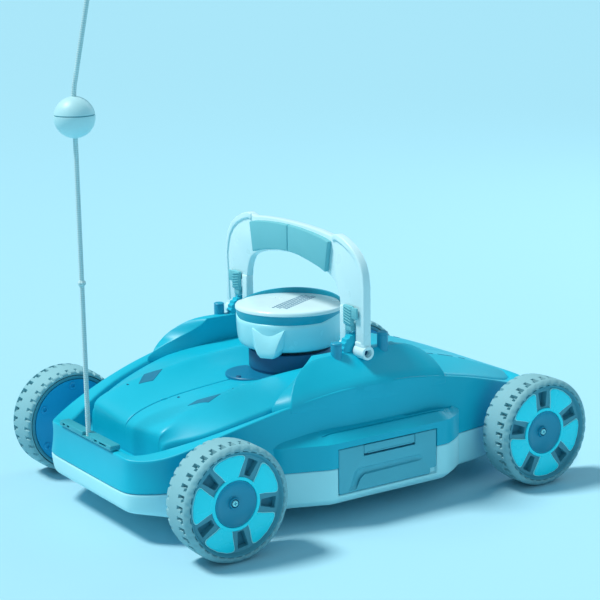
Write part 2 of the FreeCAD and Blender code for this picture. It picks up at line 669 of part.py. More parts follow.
def rope_tube(route, radius):
    """A round tube along straight runs joined by tangent arcs."""
    edges, start = [], route[0]
    for i in range(1, len(route) - 1):
        a, b, c = route[i - 1], route[i], route[i + 1]
        into, out = (b - a).normalize(), (c - b).normalize()
        half_turn = into.getAngle(out) / 2
        reach = 0.45 * min((b - a).Length, (c - b).Length)
        bend = reach / math.tan(half_turn)
        print("rope bend radius %.0f mm" % bend)
        first, last = b - into * reach, b + out * reach
        middle = b + (out - into).normalize() * (bend / math.cos(half_turn) - bend)
        edges.append(Part.LineSegment(start, first).toShape())
        edges.append(Part.Arc(first, middle, last).toShape())
        start = last
    edges.append(Part.LineSegment(start, route[-1]).toShape())
    path = Part.Wire(edges)
    section = Part.Wire(Part.makeCircle(radius, route[0], route[1] - route[0]))
    tube = path.makePipeShell([section], True, False)
    print("rope length %.1f mm, volume against section x length %.4f"
          % (path.Length, tube.Volume / (math.pi * radius ** 2 * path.Length)))
    return tube


subpart(shaped(rope_tube(ROPE_ROUTE, size("rope_radius"))), "rope")
bead_hole = rod("rope_hole", 20, 0, "rope_y", "bead_z - 10")
subpart(cut(ball("bead_radius", 0, "rope_y", "bead_z"), bead_hole), "rope_bead")
sphere_low = ball("float_radius", 0, "rope_y", "float_z")
sphere_high = ball("float_radius", 0, "rope_y", "float_z")
room = ("-float_radius", "float_radius", "rope_y - float_radius", "rope_y + float_radius")
float_bore = rod("float_bore", "3 * float_radius", 0, "rope_y", "float_z - 1.5 * float_radius")
above = box(*room, "float_seam - 0.6", "float_z + float_radius + 1")
below = box(*room, "float_z - float_radius - 1", "float_seam + 0.6")
subpart(cut(sphere_low, above, float_bore), "float_lower")
subpart(cut(sphere_high, below, float_bore), "float_upper")
end = ROPE_ROUTE[-1]
knot = ball("knot_radius", end.x, end.y, "%s + knot_radius - 0.5" % end.z)
eye = DOC.addObject("Part::Torus", "Eye")
bind(eye, Radius1="knot_radius + 3", Radius2="rope_radius")
place(eye, end.x, end.y, "%s + 2 * knot_radius + 8" % end.z, V(0, 1, 0), 90)
subpart(cut(fuse(knot, eye), shaped(rope_tube(ROPE_ROUTE, size("rope_radius")))), "rope_knot")

# ---------------------------------------------------------------- check and write
DOC.recompute()
for obj in DOC.Objects:
    if "Invalid" in obj.State or "Error" in obj.State:
        raise RuntimeError("%s failed to compute: %s" % (obj.Label, obj.State))
os.makedirs("parts", exist_ok=True)
for obj in SUBPARTS:
    shape = obj.Shape
    if shape.isNull() or not shape.isValid() or not shape.Solids:
        raise RuntimeError("%s has no valid solid" % obj.Label)
    shape.exportStep("parts/%s.step" % obj.Label)
print("%d sub-parts written" % len(SUBPARTS))
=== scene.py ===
import math
import bmesh
import bpy
from mathutils import Matrix, Vector


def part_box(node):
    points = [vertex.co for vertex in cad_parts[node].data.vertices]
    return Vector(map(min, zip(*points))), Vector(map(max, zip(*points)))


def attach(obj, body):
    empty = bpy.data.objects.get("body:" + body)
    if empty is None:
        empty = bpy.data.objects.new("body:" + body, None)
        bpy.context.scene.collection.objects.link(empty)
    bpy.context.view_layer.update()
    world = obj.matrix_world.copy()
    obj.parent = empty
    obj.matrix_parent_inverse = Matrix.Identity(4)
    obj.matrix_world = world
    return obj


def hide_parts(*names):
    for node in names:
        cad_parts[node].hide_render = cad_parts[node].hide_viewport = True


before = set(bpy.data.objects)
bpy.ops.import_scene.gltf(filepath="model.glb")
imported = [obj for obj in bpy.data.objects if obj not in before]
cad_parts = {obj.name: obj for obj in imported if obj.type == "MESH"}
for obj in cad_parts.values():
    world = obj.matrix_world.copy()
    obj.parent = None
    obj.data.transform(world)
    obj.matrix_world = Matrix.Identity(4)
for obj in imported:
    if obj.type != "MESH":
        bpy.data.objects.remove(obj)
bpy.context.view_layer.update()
bpy.ops.object.select_all(action="DESELECT")

# ---- Studio: a pale floor, a soft key from the upper left, a fill and a dim sky.
# The camera stands off the nose's left quarter, a little above the handle.
scene = bpy.context.scene
scene.view_settings.view_transform = "Standard"
world = bpy.data.worlds.new("studio_sky")
world.use_nodes = True
world.node_tree.nodes["Background"].inputs["Color"].default_value = (0.46, 0.78, 0.93, 1)
world.node_tree.nodes["Background"].inputs["Strength"].default_value = 0.44
scene.world = world


def soft_light(name, place, aim, width, power, tint):
    """A square area light that is turned towards a point."""
    data = bpy.data.lights.new(name, "AREA")
    data.shape = "SQUARE"
    data.size = width
    data.energy = power
    data.color = tint
    lamp = bpy.data.objects.new(name, data)
    lamp.location = place
    lamp.rotation_euler = (Vector(aim) - Vector(place)).to_track_quat("-Z", "Y").to_euler()
    scene.collection.objects.link(lamp)


soft_light("fill", (2.4, 0.4, 1.3), (0, 0, 0.1), 1.8, 5, (0.70, 0.90, 1.0))
soft_light("back", (-0.4, 2.2, 1.5), (0, 0, 0.15), 1.2, 10, (0.85, 0.96, 1.0))
sun = bpy.data.lights.new("key", "SUN")
sun.energy = 3.1
sun.angle = math.radians(14)
sun.color = (1.0, 0.99, 0.95)
key = bpy.data.objects.new("key", sun)
key.rotation_euler = Vector((0.42, 0.62, -1.25)).to_track_quat("-Z", "Y").to_euler()
scene.collection.objects.link(key)

cam_data = bpy.data.cameras.new("camera")
cam_data.lens = 104.757
cam_data.sensor_width = 36
camera = bpy.data.objects.new("camera", cam_data)
turn, lift, roll = math.radians(56.4367), math.radians(12.8056), math.radians(-0.9037)
back = Vector((math.sin(turn) * math.cos(lift), -math.cos(turn) * math.cos(lift), math.sin(lift)))
right = (-back).cross(Vector((0, 0, 1))).normalized()
above = right.cross(-back)
side = right * math.cos(roll) + above * math.sin(roll)
top = above * math.cos(roll) - right * math.sin(roll)
camera.matrix_world = Matrix((side, top, back)).transposed().to_4x4()
camera.location = (1.56883, -1.03398, 0.62835)
scene.collection.objects.link(camera)
scene.camera = camera

bpy.ops.mesh.primitive_plane_add(size=60, location=(0, 0, 0))
floor = bpy.context.object
floor.name = "floor"
floor_look = bpy.data.materials.new("pale_floor")
floor_look.use_nodes = True
floor_shader = floor_look.node_tree.nodes["Principled BSDF"]
floor_shader.inputs["Base Color"].default_value = (0.38, 0.70, 0.82, 1)
floor_shader.inputs["Roughness"].default_value = 0.75
floor.data.materials.append(floor_look)


# ---- Tether: a five millimetre braided rope of polypropylene, held taut from above. It is tied
# in the anchor bar on the nose, carries a stopper bead and the ball float, and ends in an eye.
def mat_nodes(name):
    """A new node material with its shader and an object-space coordinate."""
    look = bpy.data.materials.new(name)
    look.use_nodes = True
    tree = look.node_tree
    coord = tree.nodes.new("ShaderNodeTexCoord")
    return look, tree, tree.nodes["Principled BSDF"], coord.outputs["Object"]


def noise(tree, coord, scale, detail):
    """A cloud of values on the object's own coordinates."""
    cloud = tree.nodes.new("ShaderNodeTexNoise")
    cloud.inputs["Scale"].default_value = scale
    cloud.inputs["Detail"].default_value = detail
    tree.links.new(coord, cloud.inputs["Vector"])
    return cloud.outputs["Fac"]


def bumped(tree, shader, height, distance, strength):
    """Let a value raise the surface in the shading."""
    bump = tree.nodes.new("ShaderNodeBump")
    bump.inputs["Distance"].default_value = distance
    bump.inputs["Strength"].default_value = strength
    tree.links.new(height, bump.inputs["Height"])
    tree.links.new(bump.outputs["Normal"], shader.inputs["Normal"])


def coloured(tree, shader, value, low, high, dark, light):
    """Colour the shader by a value, from dark below low to light above high."""
    ramp = tree.nodes.new("ShaderNodeValToRGB")
    for stop, position, colour in zip(ramp.color_ramp.elements, (low, high), (dark, light)):
        stop.position = position
        stop.color = (*colour, 1)
    tree.links.new(value, ramp.inputs["Fac"])
    tree.links.new(ramp.outputs["Color"], shader.inputs["Base Color"])


def moulded(name, colour, rough, grain=0.02, shade=0.12, gloss=0.5, texture=900, streak=7.0):
    """Moulded plastic: a fine spark texture, slow colour drift and a little uneven gloss."""
    look, tree, shader, coord = mat_nodes(name)
    dark = [c * (1 - shade) for c in colour]
    light = [min(1, c * (1 + shade * 0.6) + 0.01) for c in colour]
    coloured(tree, shader, noise(tree, coord, streak, 4), 0.3, 0.7, dark, light)
    bumped(tree, shader, noise(tree, coord, texture, 2), grain * 0.001, 0.35)
    patch = tree.nodes.new("ShaderNodeMapRange")
    patch.inputs["To Min"].default_value = max(0.05, rough - 0.06)
    patch.inputs["To Max"].default_value = rough + 0.08
    tree.links.new(noise(tree, coord, 38, 5), patch.inputs["Value"])
    tree.links.new(patch.outputs["Result"], shader.inputs["Roughness"])
    shader.inputs["Specular IOR Level"].default_value = gloss
    return look


def braid(name, colour, centre):
    """A tight round braid: two crossing sets of strands wound about an upright line."""
    look, tree, shader, coord = mat_nodes(name)
    link = tree.links.new
    strands, strand_pitch = 4, 1450

    def calc(operation, *terms):
        """A maths node fed by sockets and plain numbers."""
        step = tree.nodes.new("ShaderNodeMath")
        step.operation = operation
        for socket, term in zip(step.inputs, terms):
            if isinstance(term, int):
                socket.default_value = term
            else:
                link(term, socket)
        return step.outputs["Value"]

    place = tree.nodes.new("ShaderNodeMapping")
    place.inputs["Location"].default_value = (-centre[0], -centre[1], 0)
    link(coord, place.inputs["Vector"])
    split = tree.nodes.new("ShaderNodeSeparateXYZ")
    link(place.outputs["Vector"], split.inputs["Vector"])
    angle = calc("ARCTAN2", split.outputs["Y"], split.outputs["X"])
    waves = []
    for lean in (1, -1):
        rise = calc("MULTIPLY", split.outputs["Z"], strand_pitch * lean)
        waves.append(calc("SINE", calc("MULTIPLY_ADD", angle, strands, rise)))
    weave = calc("MULTIPLY", *waves)
    bumped(tree, shader, weave, 0.0004, 0.8)
    # The weave's low places are painted darker than its crowns: painted shade between the strands.
    spread = tree.nodes.new("ShaderNodeMapRange")
    spread.inputs["From Min"].default_value = -1
    link(weave, spread.inputs["Value"])
    coloured(tree, shader, spread.outputs["Result"], 0, 1, [c * 0.74 for c in colour], colour)
    shader.inputs["Roughness"].default_value = 0.7
    shader.inputs["Sheen Weight"].default_value = 0.25
    return look


def finished(piece, body, look, slot_name, *nodes):
    """Give a piece its finish, its CAD body and the CAD nodes that it stands for."""
    piece.data.materials.clear()
    piece.data.materials.append(look)
    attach(piece, body)
    if nodes:
        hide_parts(*nodes)
    return piece


def picked(*pieces):
    """Select these pieces and nothing else, with the first as the active one."""
    bpy.ops.object.select_all(action="DESELECT")
    for piece in pieces:
        piece.select_set(True)
    bpy.context.view_layer.objects.active = pieces[0]
    return pieces[0]


def settle(piece):
    """Put the piece's place into its mesh and apply its modifiers."""
    picked(piece)
    bpy.ops.object.transform_apply(location=True, rotation=True, scale=True)
    for modifier in list(piece.modifiers):
        bpy.ops.object.modifier_apply(modifier=modifier.name)
    return piece


def smooth(piece, degrees=32):
    """Shade smooth, except over edges that are sharper than an angle."""
    picked(piece)
    bpy.ops.object.shade_smooth_by_angle(angle=math.radians(degrees))
    return piece


def softened(piece, width, segments=3, angle=28):
    """Round the edges that are sharper than an angle."""
    edge = piece.modifiers.new("edge", "BEVEL")
    edge.width = width
    edge.segments = segments
    edge.angle_limit = math.radians(angle)
    return settle(piece)


def joined(parts, name):
    """Make one piece of several."""
    piece = picked(*parts)
    bpy.ops.object.join()
    piece.name = name
    return settle(piece)


def sliced(piece, place, normal):
    """Cut a piece at a plane, drop the part on the normal's side and close the cut."""
    picked(piece)
    bpy.ops.object.mode_set(mode="EDIT")
    bpy.ops.mesh.select_all(action="SELECT")
    bpy.ops.mesh.bisect(plane_co=place, plane_no=normal, use_fill=True, clear_outer=True)
    bpy.ops.object.mode_set(mode="OBJECT")
    return piece


def named(name):
    """Name the piece that was just added."""
    bpy.context.object.name = name
    return bpy.context.object


rope_radius = 0.0025
rope_y = -0.259
rope_points = [(0, rope_y, 0.092), (0, rope_y, 0.420), (0, rope_y, 0.450), (0.0018, -0.2563, 0.466),
               (0.0115, -0.2415, 0.558)]
rope_line = bpy.data.curves.new("tether_rope", "CURVE")
rope_line.dimensions = "3D"
rope_line.bevel_depth = rope_radius
rope_line.bevel_resolution = 6
rope_line.resolution_u = 12
rope_line.use_fill_caps = True
spline = rope_line.splines.new("NURBS")
spline.points.add(len(rope_points) - 1)
for point, spot in zip(spline.points, rope_points):
    point.co = (*spot, 1)
spline.order_u = 3
spline.use_endpoint_u = True
tether = bpy.data.objects.new("tether_rope", rope_line)
scene.collection.objects.link(tether)
rope_look = braid("braided_cord", (0.60, 0.86, 0.90), (0, rope_y))
finished(tether, "chassis", rope_look, "rope_white", "rope")

# The ball float: two blow-moulded halves on the rope with a dark weld groove between them.
float_radius, float_z, seam_z, half_groove = 0.021, 0.424, 0.4265, 0.0006
float_look = moulded("float_plastic", (0.50, 0.80, 0.85), 0.42, grain=0.03, shade=0.08)
for name, low, high, node in (("float_half_low", 0.4030, seam_z - half_groove, "float_lower"),
                              ("float_half_high", seam_z + half_groove, 0.4450, "float_upper")):
    bpy.ops.mesh.primitive_uv_sphere_add(segments=64, ring_count=40, radius=float_radius * 0.995,
                                         location=(0, rope_y, float_z))
    half = settle(named(name))
    sliced(half, (0, 0, low), (0, 0, -1))
    sliced(half, (0, 0, high), (0, 0, 1))
    softened(half, 0.0007, 3, 40)
    finished(smooth(half), "chassis", float_look, "float_white", node)
bpy.ops.mesh.primitive_cylinder_add(vertices=64, radius=float_radius * 0.955, depth=0.0016,
                                    location=(0, rope_y, seam_z))
seam_disc = settle(named("float_seam"))
finished(smooth(seam_disc), "chassis", moulded("float_weld", (0.10, 0.36, 0.44), 0.6), "float_white")

# The bead is a stopper knot of the same cord, and the far end is an eye spliced over a knot.
bpy.ops.mesh.primitive_torus_add(major_radius=0.0021, minor_radius=0.0021, major_segments=32,
                                 minor_segments=16, location=(0, rope_y, 0.255))
bead = named("tether_bead")
bead.scale = (1, 1, 1.35)
finished(smooth(settle(bead), 60), "chassis", rope_look, "rope_white", "rope_bead")
eye_low, eye_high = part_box("rope_knot")
eye_x, eye_y = (eye_low.x + eye_high.x) / 2, (eye_low.y + eye_high.y) / 2
bpy.ops.mesh.primitive_torus_add(major_radius=0.0088, minor_radius=rope_radius * 0.98, major_segments=48,
                                 minor_segments=16, location=(eye_x, eye_y, 0.5781),
                                 rotation=(0, math.pi / 2, 0))
eye = settle(named("tether_eye"))
finished(smooth(eye, 60), "chassis", rope_look, "rope_white")
wraps, first_wrap, wrap_pitch = [], 0.5594, 0.0032
for k in range(4):
    bpy.ops.mesh.primitive_torus_add(major_radius=0.0030, minor_radius=0.0018, major_segments=28,
                                     minor_segments=12, location=(eye_x, eye_y, first_wrap + wrap_pitch * k))
    wraps.append(bpy.context.object)
knot = joined(wraps, "tether_whipping")
finished(smooth(knot, 60), "chassis", rope_look, "rope_white", "rope_knot")

# ---- Upper shell: the turquoise body, injection moulded in hard plastic and screwed to the hull.
# It is one loop of wall and rim round the whole vehicle, open below, with a gutter inside the
# rim and a deep recess behind the nose.
shell_look = moulded("shell_turquoise", (0.0, 0.48, 0.65), 0.36, grain=0.02, shade=0.07, gloss=0.3)
# dark_look is the power button's own dark blue, and painted shade in the hood's holes, behind the anchor
# slots, in the handle's sockets, in the latch notches and in the wheels' screw wells.
dark_look = moulded("shadow_blue", (0.0, 0.10, 0.22), 0.5, grain=0.03, shade=0.1)

# A quarter of the outline in millimetres: half-width, distance from the middle, shoulder height,
# seam height, floor height, gutter depth, the rim's inner edge and the gutter floor's inner edge.
quarter = [
    (0, 262, 91, 54, 31, 23, 0, 250, 0, 205), (38, 262, 91, 54, 31, 23, 38, 250, 38, 205),
    (66, 262, 91, 54, 31, 23, 64, 250, 54, 205), (82, 261.5, 90, 54, 31, 22, 71, 249, 60, 205),
    (91, 256.5, 89, 54, 30.5, 22, 74, 243, 62, 206), (108, 239, 90, 55, 30, 21, 81, 231, 64, 206),
    (121, 214, 97.5, 57, 24, 19, 96, 211, 72, 200), (130, 178, 110, 61, 22, 15, 114, 179, 88, 180),
    (140, 133, 123, 62, 22, 12, 127, 134, 100, 133), (146, 84, 134, 62, 22, 10, 134, 84.5, 108, 84),
    (149.5, 42, 140, 62, 22, 7, 138, 42, 112, 42), (150, 0, 141, 62, 22, 6, 139, 0, 112, 0),
]
rear_half = [(x, -y, *more, ix, -iy, jx, -jy) for x, y, *more, ix, iy, jx, jy in quarter]
right_side = rear_half + quarter[-2::-1]
ring = [tuple(v / 1000 for v in s) for s in right_side]
ring += [(-x, y, *more, -ix, iy, -jx, jy) for x, y, *more, ix, iy, jx, jy in reversed(ring[1:-1])]


def drawn_up(name, bands, close_low=False, close_high=False):
    """Set a circle's points on the first band and extrude its edges from band to band."""
    count = len(bands[0])
    bpy.ops.object.select_all(action="DESELECT")
    bpy.ops.mesh.primitive_circle_add(vertices=count, radius=0.1, location=(0, 0, 0))
    piece = bpy.context.object
    piece.name = name
    bpy.ops.object.mode_set(mode="EDIT")
    order = list(range(count))
    for level, band in enumerate(bands):
        shape = bmesh.from_edit_mesh(piece.data)
        shape.verts.ensure_lookup_table()
        if level:
            bpy.ops.mesh.extrude_edges_move()
            shape = bmesh.from_edit_mesh(piece.data)
            shape.verts.ensure_lookup_table()
            fresh = {}
            for vert in shape.verts:
                if vert.select:
                    for edge in vert.link_edges:
                        other = edge.other_vert(vert)
                        if not other.select:
                            fresh[other.index] = vert.index
            order = [fresh[i] for i in order]
        elif close_low:
            bpy.ops.mesh.edge_face_add()
            shape = bmesh.from_edit_mesh(piece.data)
            shape.verts.ensure_lookup_table()
        for i, spot in zip(order, band):
            shape.verts[i].co = spot
        bmesh.update_edit_mesh(piece.data)
    if close_high:
        bpy.ops.mesh.edge_face_add()
    bpy.ops.mesh.select_all(action="SELECT")
    bpy.ops.mesh.normals_make_consistent(inside=False)
    bpy.ops.object.mode_set(mode="OBJECT")
    return piece


def rounded(piece, levels=2):
    """Subdivide a cage to its smooth form."""
    curve = piece.modifiers.new("curve", "SUBSURF")
    curve.levels = curve.render_levels = levels
    return piece


def shell_band(inset, height):
    """A band round the outline, moved in towards the rim's inner edge; the height comes from the
    station's shoulder, seam, floor and gutter depth."""
    band = []
    for x, y, top_z, seam, low, drop, ix, iy, jx, jy in ring:
        share = inset / max(0.001, math.hypot(ix - x, iy - y))
        band.append(Vector((x + (ix - x) * share, y + (iy - y) * share, height(top_z, seam, low, drop))))
    return band


def inner_band(reach, height):
    """A band between the rim's inner edge (0) and the end of the gutter floor (1)."""
    return [Vector((ix + (jx - ix) * reach, iy + (jy - iy) * reach, height(top_z, seam, low, drop)))
            for x, y, top_z, seam, low, drop, ix, iy, jx, jy in ring]


shell = drawn_up("upper_shell_skin", [
    shell_band(0.0040, lambda t, s, w, d: s + 0.0006), shell_band(0.0006, lambda t, s, w, d: s + 0.0002),
    shell_band(-0.0022, lambda t, s, w, d: s), shell_band(-0.0024, lambda t, s, w, d: s + 0.0016),
    shell_band(-0.0006, lambda t, s, w, d: s + (t - s) * 0.30),
    shell_band(0.0008, lambda t, s, w, d: s + (t - s) * 0.66),
    shell_band(0.0, lambda t, s, w, d: t - 0.0030), shell_band(0.0004, lambda t, s, w, d: t - 0.0008),
    shell_band(0.0026, lambda t, s, w, d: t),
    inner_band(-0.10, lambda t, s, w, d: t - (0.0026 if d < 0.018 else 0.0002)),
    inner_band(0.0, lambda t, s, w, d: t - (0.0040 if d < 0.018 else 0.0016)),
    inner_band(0.06, lambda t, s, w, d: t - d + 0.0012), inner_band(0.12, lambda t, s, w, d: t - d),
    inner_band(1.0, lambda t, s, w, d: t - d)])
wall = shell.modifiers.new("wall", "SOLIDIFY")
wall.thickness = 0.0022
wall.offset = -1
rounded(shell)
settle(shell)
finished(smooth(shell, 60), "chassis", shell_look, "shell_turquoise", "upper_shell")

# ---- Hood: the domed cover of the same plastic, clipped between the gutters and split along its
# middle by a fine groove. Its front is a tall face over the recess and its back falls to the tail.
hood_rows = [
    # along, foot half-width, foot height, shoulder half-width and height, crest, crest height,
    # valley, and how full the dome is between valley and crest
    (-216, 77, 66, 75, 92, 66, 101, 95, 0.5), (-214.5, 80, 66, 78, 96, 68, 105.5, 99, 0.5),
    (-207, 86, 70, 84, 100, 69, 111, 106, 0.5), (-192, 99, 80, 97, 103, 67, 117, 112, 0.45),
    (-172, 110, 92, 107, 109, 65, 124, 117, 0.4), (-137, 119, 106, 116, 120, 62, 131.5, 121.5, 0.35),
    (-91, 127, 119, 124, 130.5, 61, 139.5, 125.5, 0.12), (-56, 130, 126, 126, 134.5, 62, 142.5, 127, 0.06),
    (-24, 131, 130, 127, 137, 62, 144, 128, 0.2), (40, 131, 130, 127, 137, 62, 145, 130, 0.5),
    (91, 127, 120, 124, 131, 62, 141, 133, 0.5), (137, 119, 106, 116, 120.5, 64, 133, 129, 0.5),
    (180, 107, 92, 104, 108.5, 66, 121.5, 119, 0.5), (222, 92, 78, 88, 95, 62, 106, 105, 0.5),
    (250, 76, 70, 72, 88.5, 52, 95, 94.5, 0.5), (258, 68, 67, 64, 83, 44, 90, 89.5, 0.5),
]


def hood_half(y, foot, foot_z, wide, wide_z, crest, crest_z, valley, full):
    """Half of one section, from its foot in the gutter to the groove, in metres."""
    half = [(foot, foot_z), (wide + 1.5, wide_z - 4), (wide, wide_z - 1), (wide - 3, wide_z + 0.6),
            ((wide + crest) / 2, (wide_z + crest_z) / 2 + 1.2), (crest + 6, crest_z - 1.2), (crest, crest_z),
            (crest - 9, crest_z * (0.5 + full * 0.76) + valley * (0.5 - full * 0.76)),
            (crest * 0.56, crest_z * full + valley * (1 - full)),
            (crest * 0.24, crest_z * 0.24 * full + valley * (1 - 0.24 * full)), (1.9, valley),
            (0.9, valley - 0.4), (0.75, valley - 2.2)]
    return [Vector((x / 1000, y / 1000, z / 1000)) for x, z in half]


hood_bands = []
for row in hood_rows:
    half_band = hood_half(*row)
    hood_bands.append(half_band + [Vector((-p.x, p.y, p.z)) for p in reversed(half_band)])
foot_z = 0.066
front_foot = [Vector((p.x * 0.985, -0.2166, foot_z)) for p in hood_bands[0]]
tail_foot = [Vector((p.x * 0.985, 0.2588, foot_z)) for p in hood_bands[-1]]
hood = drawn_up("hood_dome", [front_foot] + hood_bands + [tail_foot])
bpy.ops.object.mode_set(mode="EDIT")
bpy.ops.mesh.select_all(action="DESELECT")
shape = bmesh.from_edit_mesh(hood.data)
around = len(front_foot)
under = [f for f in shape.faces if all(v.index % around in (0, around - 1) for v in f.verts)
         and max(v.co.x for v in f.verts) > 0 > min(v.co.x for v in f.verts)]
bmesh.ops.delete(shape, geom=under, context="FACES_ONLY")
bmesh.update_edit_mesh(hood.data)
bpy.ops.object.mode_set(mode="OBJECT")
skin = hood.modifiers.new("skin", "SOLIDIFY")
skin.thickness = 0.0022
skin.offset = -1
rounded(hood)
settle(hood)
finished(smooth(hood, 50), "chassis", shell_look, "shell_turquoise", "top_cover")

# ---- Lower hull: the pale tub of moulded plastic under the seam, which holds the axles. Its
# floor is flat between them and rises towards the nose and the tail; its walls turn in at the foot.
hull_look = moulded("hull_white", (0.48, 0.90, 0.97), 0.34, grain=0.02, shade=0.05)


def hull_band(inset, part):
    """A band round the hull at a part of the way from its floor to just under the seam."""
    return shell_band(inset, lambda t, s, w, d: w + (s - 0.0003 - w) * part)


hull = drawn_up("lower_hull_tub", [
    hull_band(0.0030, 1.0), hull_band(-0.0012, 0.999), hull_band(-0.0024, 0.985), hull_band(-0.0022, 0.80),
    hull_band(-0.0006, 0.35), hull_band(0.0008, 0.16), hull_band(0.0036, 0.03), hull_band(0.009, 0.0),
    hull_band(0.014, 0.0)], close_high=True)
rounded(hull)
settle(hull)
finished(smooth(hull, 60), "chassis", hull_look, "hull_white", "lower_hull")

# ---- Side pods: the plastic shroud over each filter drawer, moulded with the shell above the
# seam and with the hull below it. Its top leans in, has a long slit and is scooped out behind.
pod_plan = [(0.120, -0.128), (0.1395, -0.124), (0.1470, -0.116), (0.1510, -0.1045), (0.1590, -0.0840),
            (0.1645, -0.0700), (0.1655, -0.0640), (0.165, -0.02), (0.1655, 0.080), (0.1645, 0.0870),
            (0.1585, 0.0985), (0.1490, 0.1120), (0.1395, 0.1200), (0.120, 0.124)]
pod_inner, pod_outer = 0.120, 0.165


def pod_ring(z, inset, front=0.0, back=0.0, slope=0.0):
    """The pod's plan at one height, drawn in from its outer face and from its two ends."""
    spots = []
    for x, y in pod_plan:
        lean = inset * min(1.0, max(0.0, (x - pod_inner) / 0.030))
        along = y + (front if y < -0.05 else -back if y > 0.05 else 0)
        spots.append(Vector((x - lean, along, z + slope * (pod_outer - x))))
    return spots


def for_both(make):
    """Make a piece for the left side, and its mirrored twin for the right."""
    for side in (1, -1):
        make(side, "left" if side > 0 else "right")


def carve(piece, *tools):
    """Cut pieces out of a piece and remove them."""
    for tool in tools:
        cutter = piece.modifiers.new("cut", "BOOLEAN")
        cutter.operation = "DIFFERENCE"
        cutter.solver = "EXACT"
        cutter.object = tool
    settle(piece)
    for tool in tools:
        bpy.data.objects.remove(tool)
    return piece


def bar_tool(name, low, high, bevel=0.0, segments=3):
    """A bar between two corners with rounded edges, from a cube."""
    low, high = Vector(low), Vector(high)
    bpy.ops.object.select_all(action="DESELECT")
    bpy.ops.mesh.primitive_cube_add(size=1, location=(low + high) / 2)
    bar = named(name)
    bar.scale = high - low
    bpy.ops.object.transform_apply(location=True, rotation=True, scale=True)
    if bevel:
        edge = bar.modifiers.new("edge", "BEVEL")
        edge.width = bevel
        edge.segments = segments
        bpy.ops.object.modifier_apply(modifier=edge.name)
    return bar


door_low, door_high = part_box("drawer_left")
door_y0, door_y1, door_front = door_low.y, door_high.y, door_high.x
door_foot, door_top, door_gap = 0.033, 0.081, 0.0009
room_back, clear_x = door_front - 0.0042, 0.180


def recalculated(piece):
    """Make a piece's faces point out again."""
    picked(piece)
    bpy.ops.object.mode_set(mode="EDIT")
    bpy.ops.mesh.select_all(action="SELECT")
    bpy.ops.mesh.normals_make_consistent(inside=False)
    bpy.ops.object.mode_set(mode="OBJECT")
    return piece


def mirrored(piece, side):
    """Turn a left-hand piece into its right-hand twin where the side asks for it."""
    if side < 0:
        piece.scale.x = -1
        recalculated(settle(piece))
    return piece


def make_pod(side, word):
    """The shroud and the tub of one pod, with room cut in both for the drawer's door."""
    shroud = drawn_up("pod_shroud_" + word, [
        pod_ring(0.0622, 0.0), pod_ring(0.0885, 0.0), pod_ring(0.0965, 0.0075, 0.006, 0.006),
        pod_ring(0.1010, 0.0190, 0.012, 0.012, 0.12), pod_ring(0.1070, 0.0330, 0.016, 0.016, 0.14)],
        close_low=True, close_high=True)
    slit = bar_tool("slit", (0.1545, -0.072, 0.0950), (0.1563, 0.118, 0.112), 0.0007)
    scoop = bar_tool("scoop", (0.1330, 0.030, 0.0935), (0.1555, 0.112, 0.125), 0.012, 6)
    room = bar_tool("room", (room_back, door_y0 - door_gap, 0.050),
                    (clear_x, door_y1 + door_gap, door_top + door_gap))
    carve(shroud, slit, scoop, room)
    softened(shroud, 0.0016, 3, 24)
    tub = drawn_up("pod_tub_" + word, [
        pod_ring(0.0220, 0.0060, 0.004, 0.004), pod_ring(0.0290, 0.0, 0.0, 0.0), pod_ring(0.0617, 0.0)],
        close_low=True, close_high=True)
    room = bar_tool("room", (room_back, door_y0 - door_gap, door_foot - door_gap),
                    (clear_x, door_y1 + door_gap, 0.070))
    carve(tub, room)
    softened(tub, 0.0022, 3, 24)
    for piece, look, slot_name in ((shroud, shell_look, "shell_turquoise"), (tub, hull_look, "hull_white")):
        finished(mirrored(smooth(settle(piece), 40), side), "chassis", look, slot_name)


for_both(make_pod)

# ---- Anchor bar: a grey-blue clamp strip of moulded plastic, screwed over the nose's edge. The
# tether leaves it through a notch in the middle, between two pairs of short slots.
bar_low, bar_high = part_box("anchor_bar")
bar_look = moulded("bar_teal", (0.02, 0.36, 0.46), 0.42, shade=0.08)
bar = bar_tool("anchor_strip", bar_low, bar_high, 0.0015)
slots = [bar_tool("slot", (x, bar_low.y - 0.004, bar_low.z + 0.0022),
                  (x + width, bar_low.y + 0.0035, bar_high.z - 0.0013))
         for x, width in ((-0.050, 0.005), (-0.040, 0.005), (0.022, 0.006), (0.033, 0.015))]
slots.append(bar_tool("slot", (-0.0045, bar_low.y - 0.004, bar_low.z + 0.002),
                      (0.012, bar_low.y + 0.0038, bar_high.z + 0.001)))
carve(bar, *slots)
softened(bar, 0.0005, 2)
finished(smooth(bar, 35), "chassis", bar_look, "shell_turquoise", "anchor_bar")
# Dark sheets behind the two pairs of slots: painted shade inside the slots.
for number, x in enumerate((-0.050, 0.033)):
    slot_shade_sheet = bar_tool("anchor_shadow_%d" % number, (x - 0.002, bar_low.y + 0.0036, bar_low.z + 0.0015),
                       (x + 0.018, bar_low.y + 0.0042, bar_high.z - 0.001), 0.0002)
    finished(slot_shade_sheet, "chassis", dark_look, "dark_blue")

# ---- Hood details: sunk diamond darts, narrow vents, a bead on the groove and small holes, all
# moulded in the hood, and the round plastic power pad with its push button let into the dome. The darts,
# vents and holes lie as thin patches and discs on the skin, and their dark blue is painted shade.
above_all, straight_down = 0.3, Vector((0, 0, -1))


def hood_spot(x, y, lift=0.0):
    """A point on the hood's skin over a place in plan, given in millimetres."""
    spot = hood.ray_cast(Vector((x / 1000, y / 1000, above_all)), straight_down)[1]
    return spot + Vector((0, 0, lift / 1000))


dart_plan = [(52.8, -170), (47.7, -155), (62, -135), (68.8, -154)]
# The darts and vents are thin patches on the skin; their dark blue is painted shade of sunk slots.
slot_shade_look = moulded("sunk_slot_shade", (0.0, 0.20, 0.34), 0.5, shade=0.1)


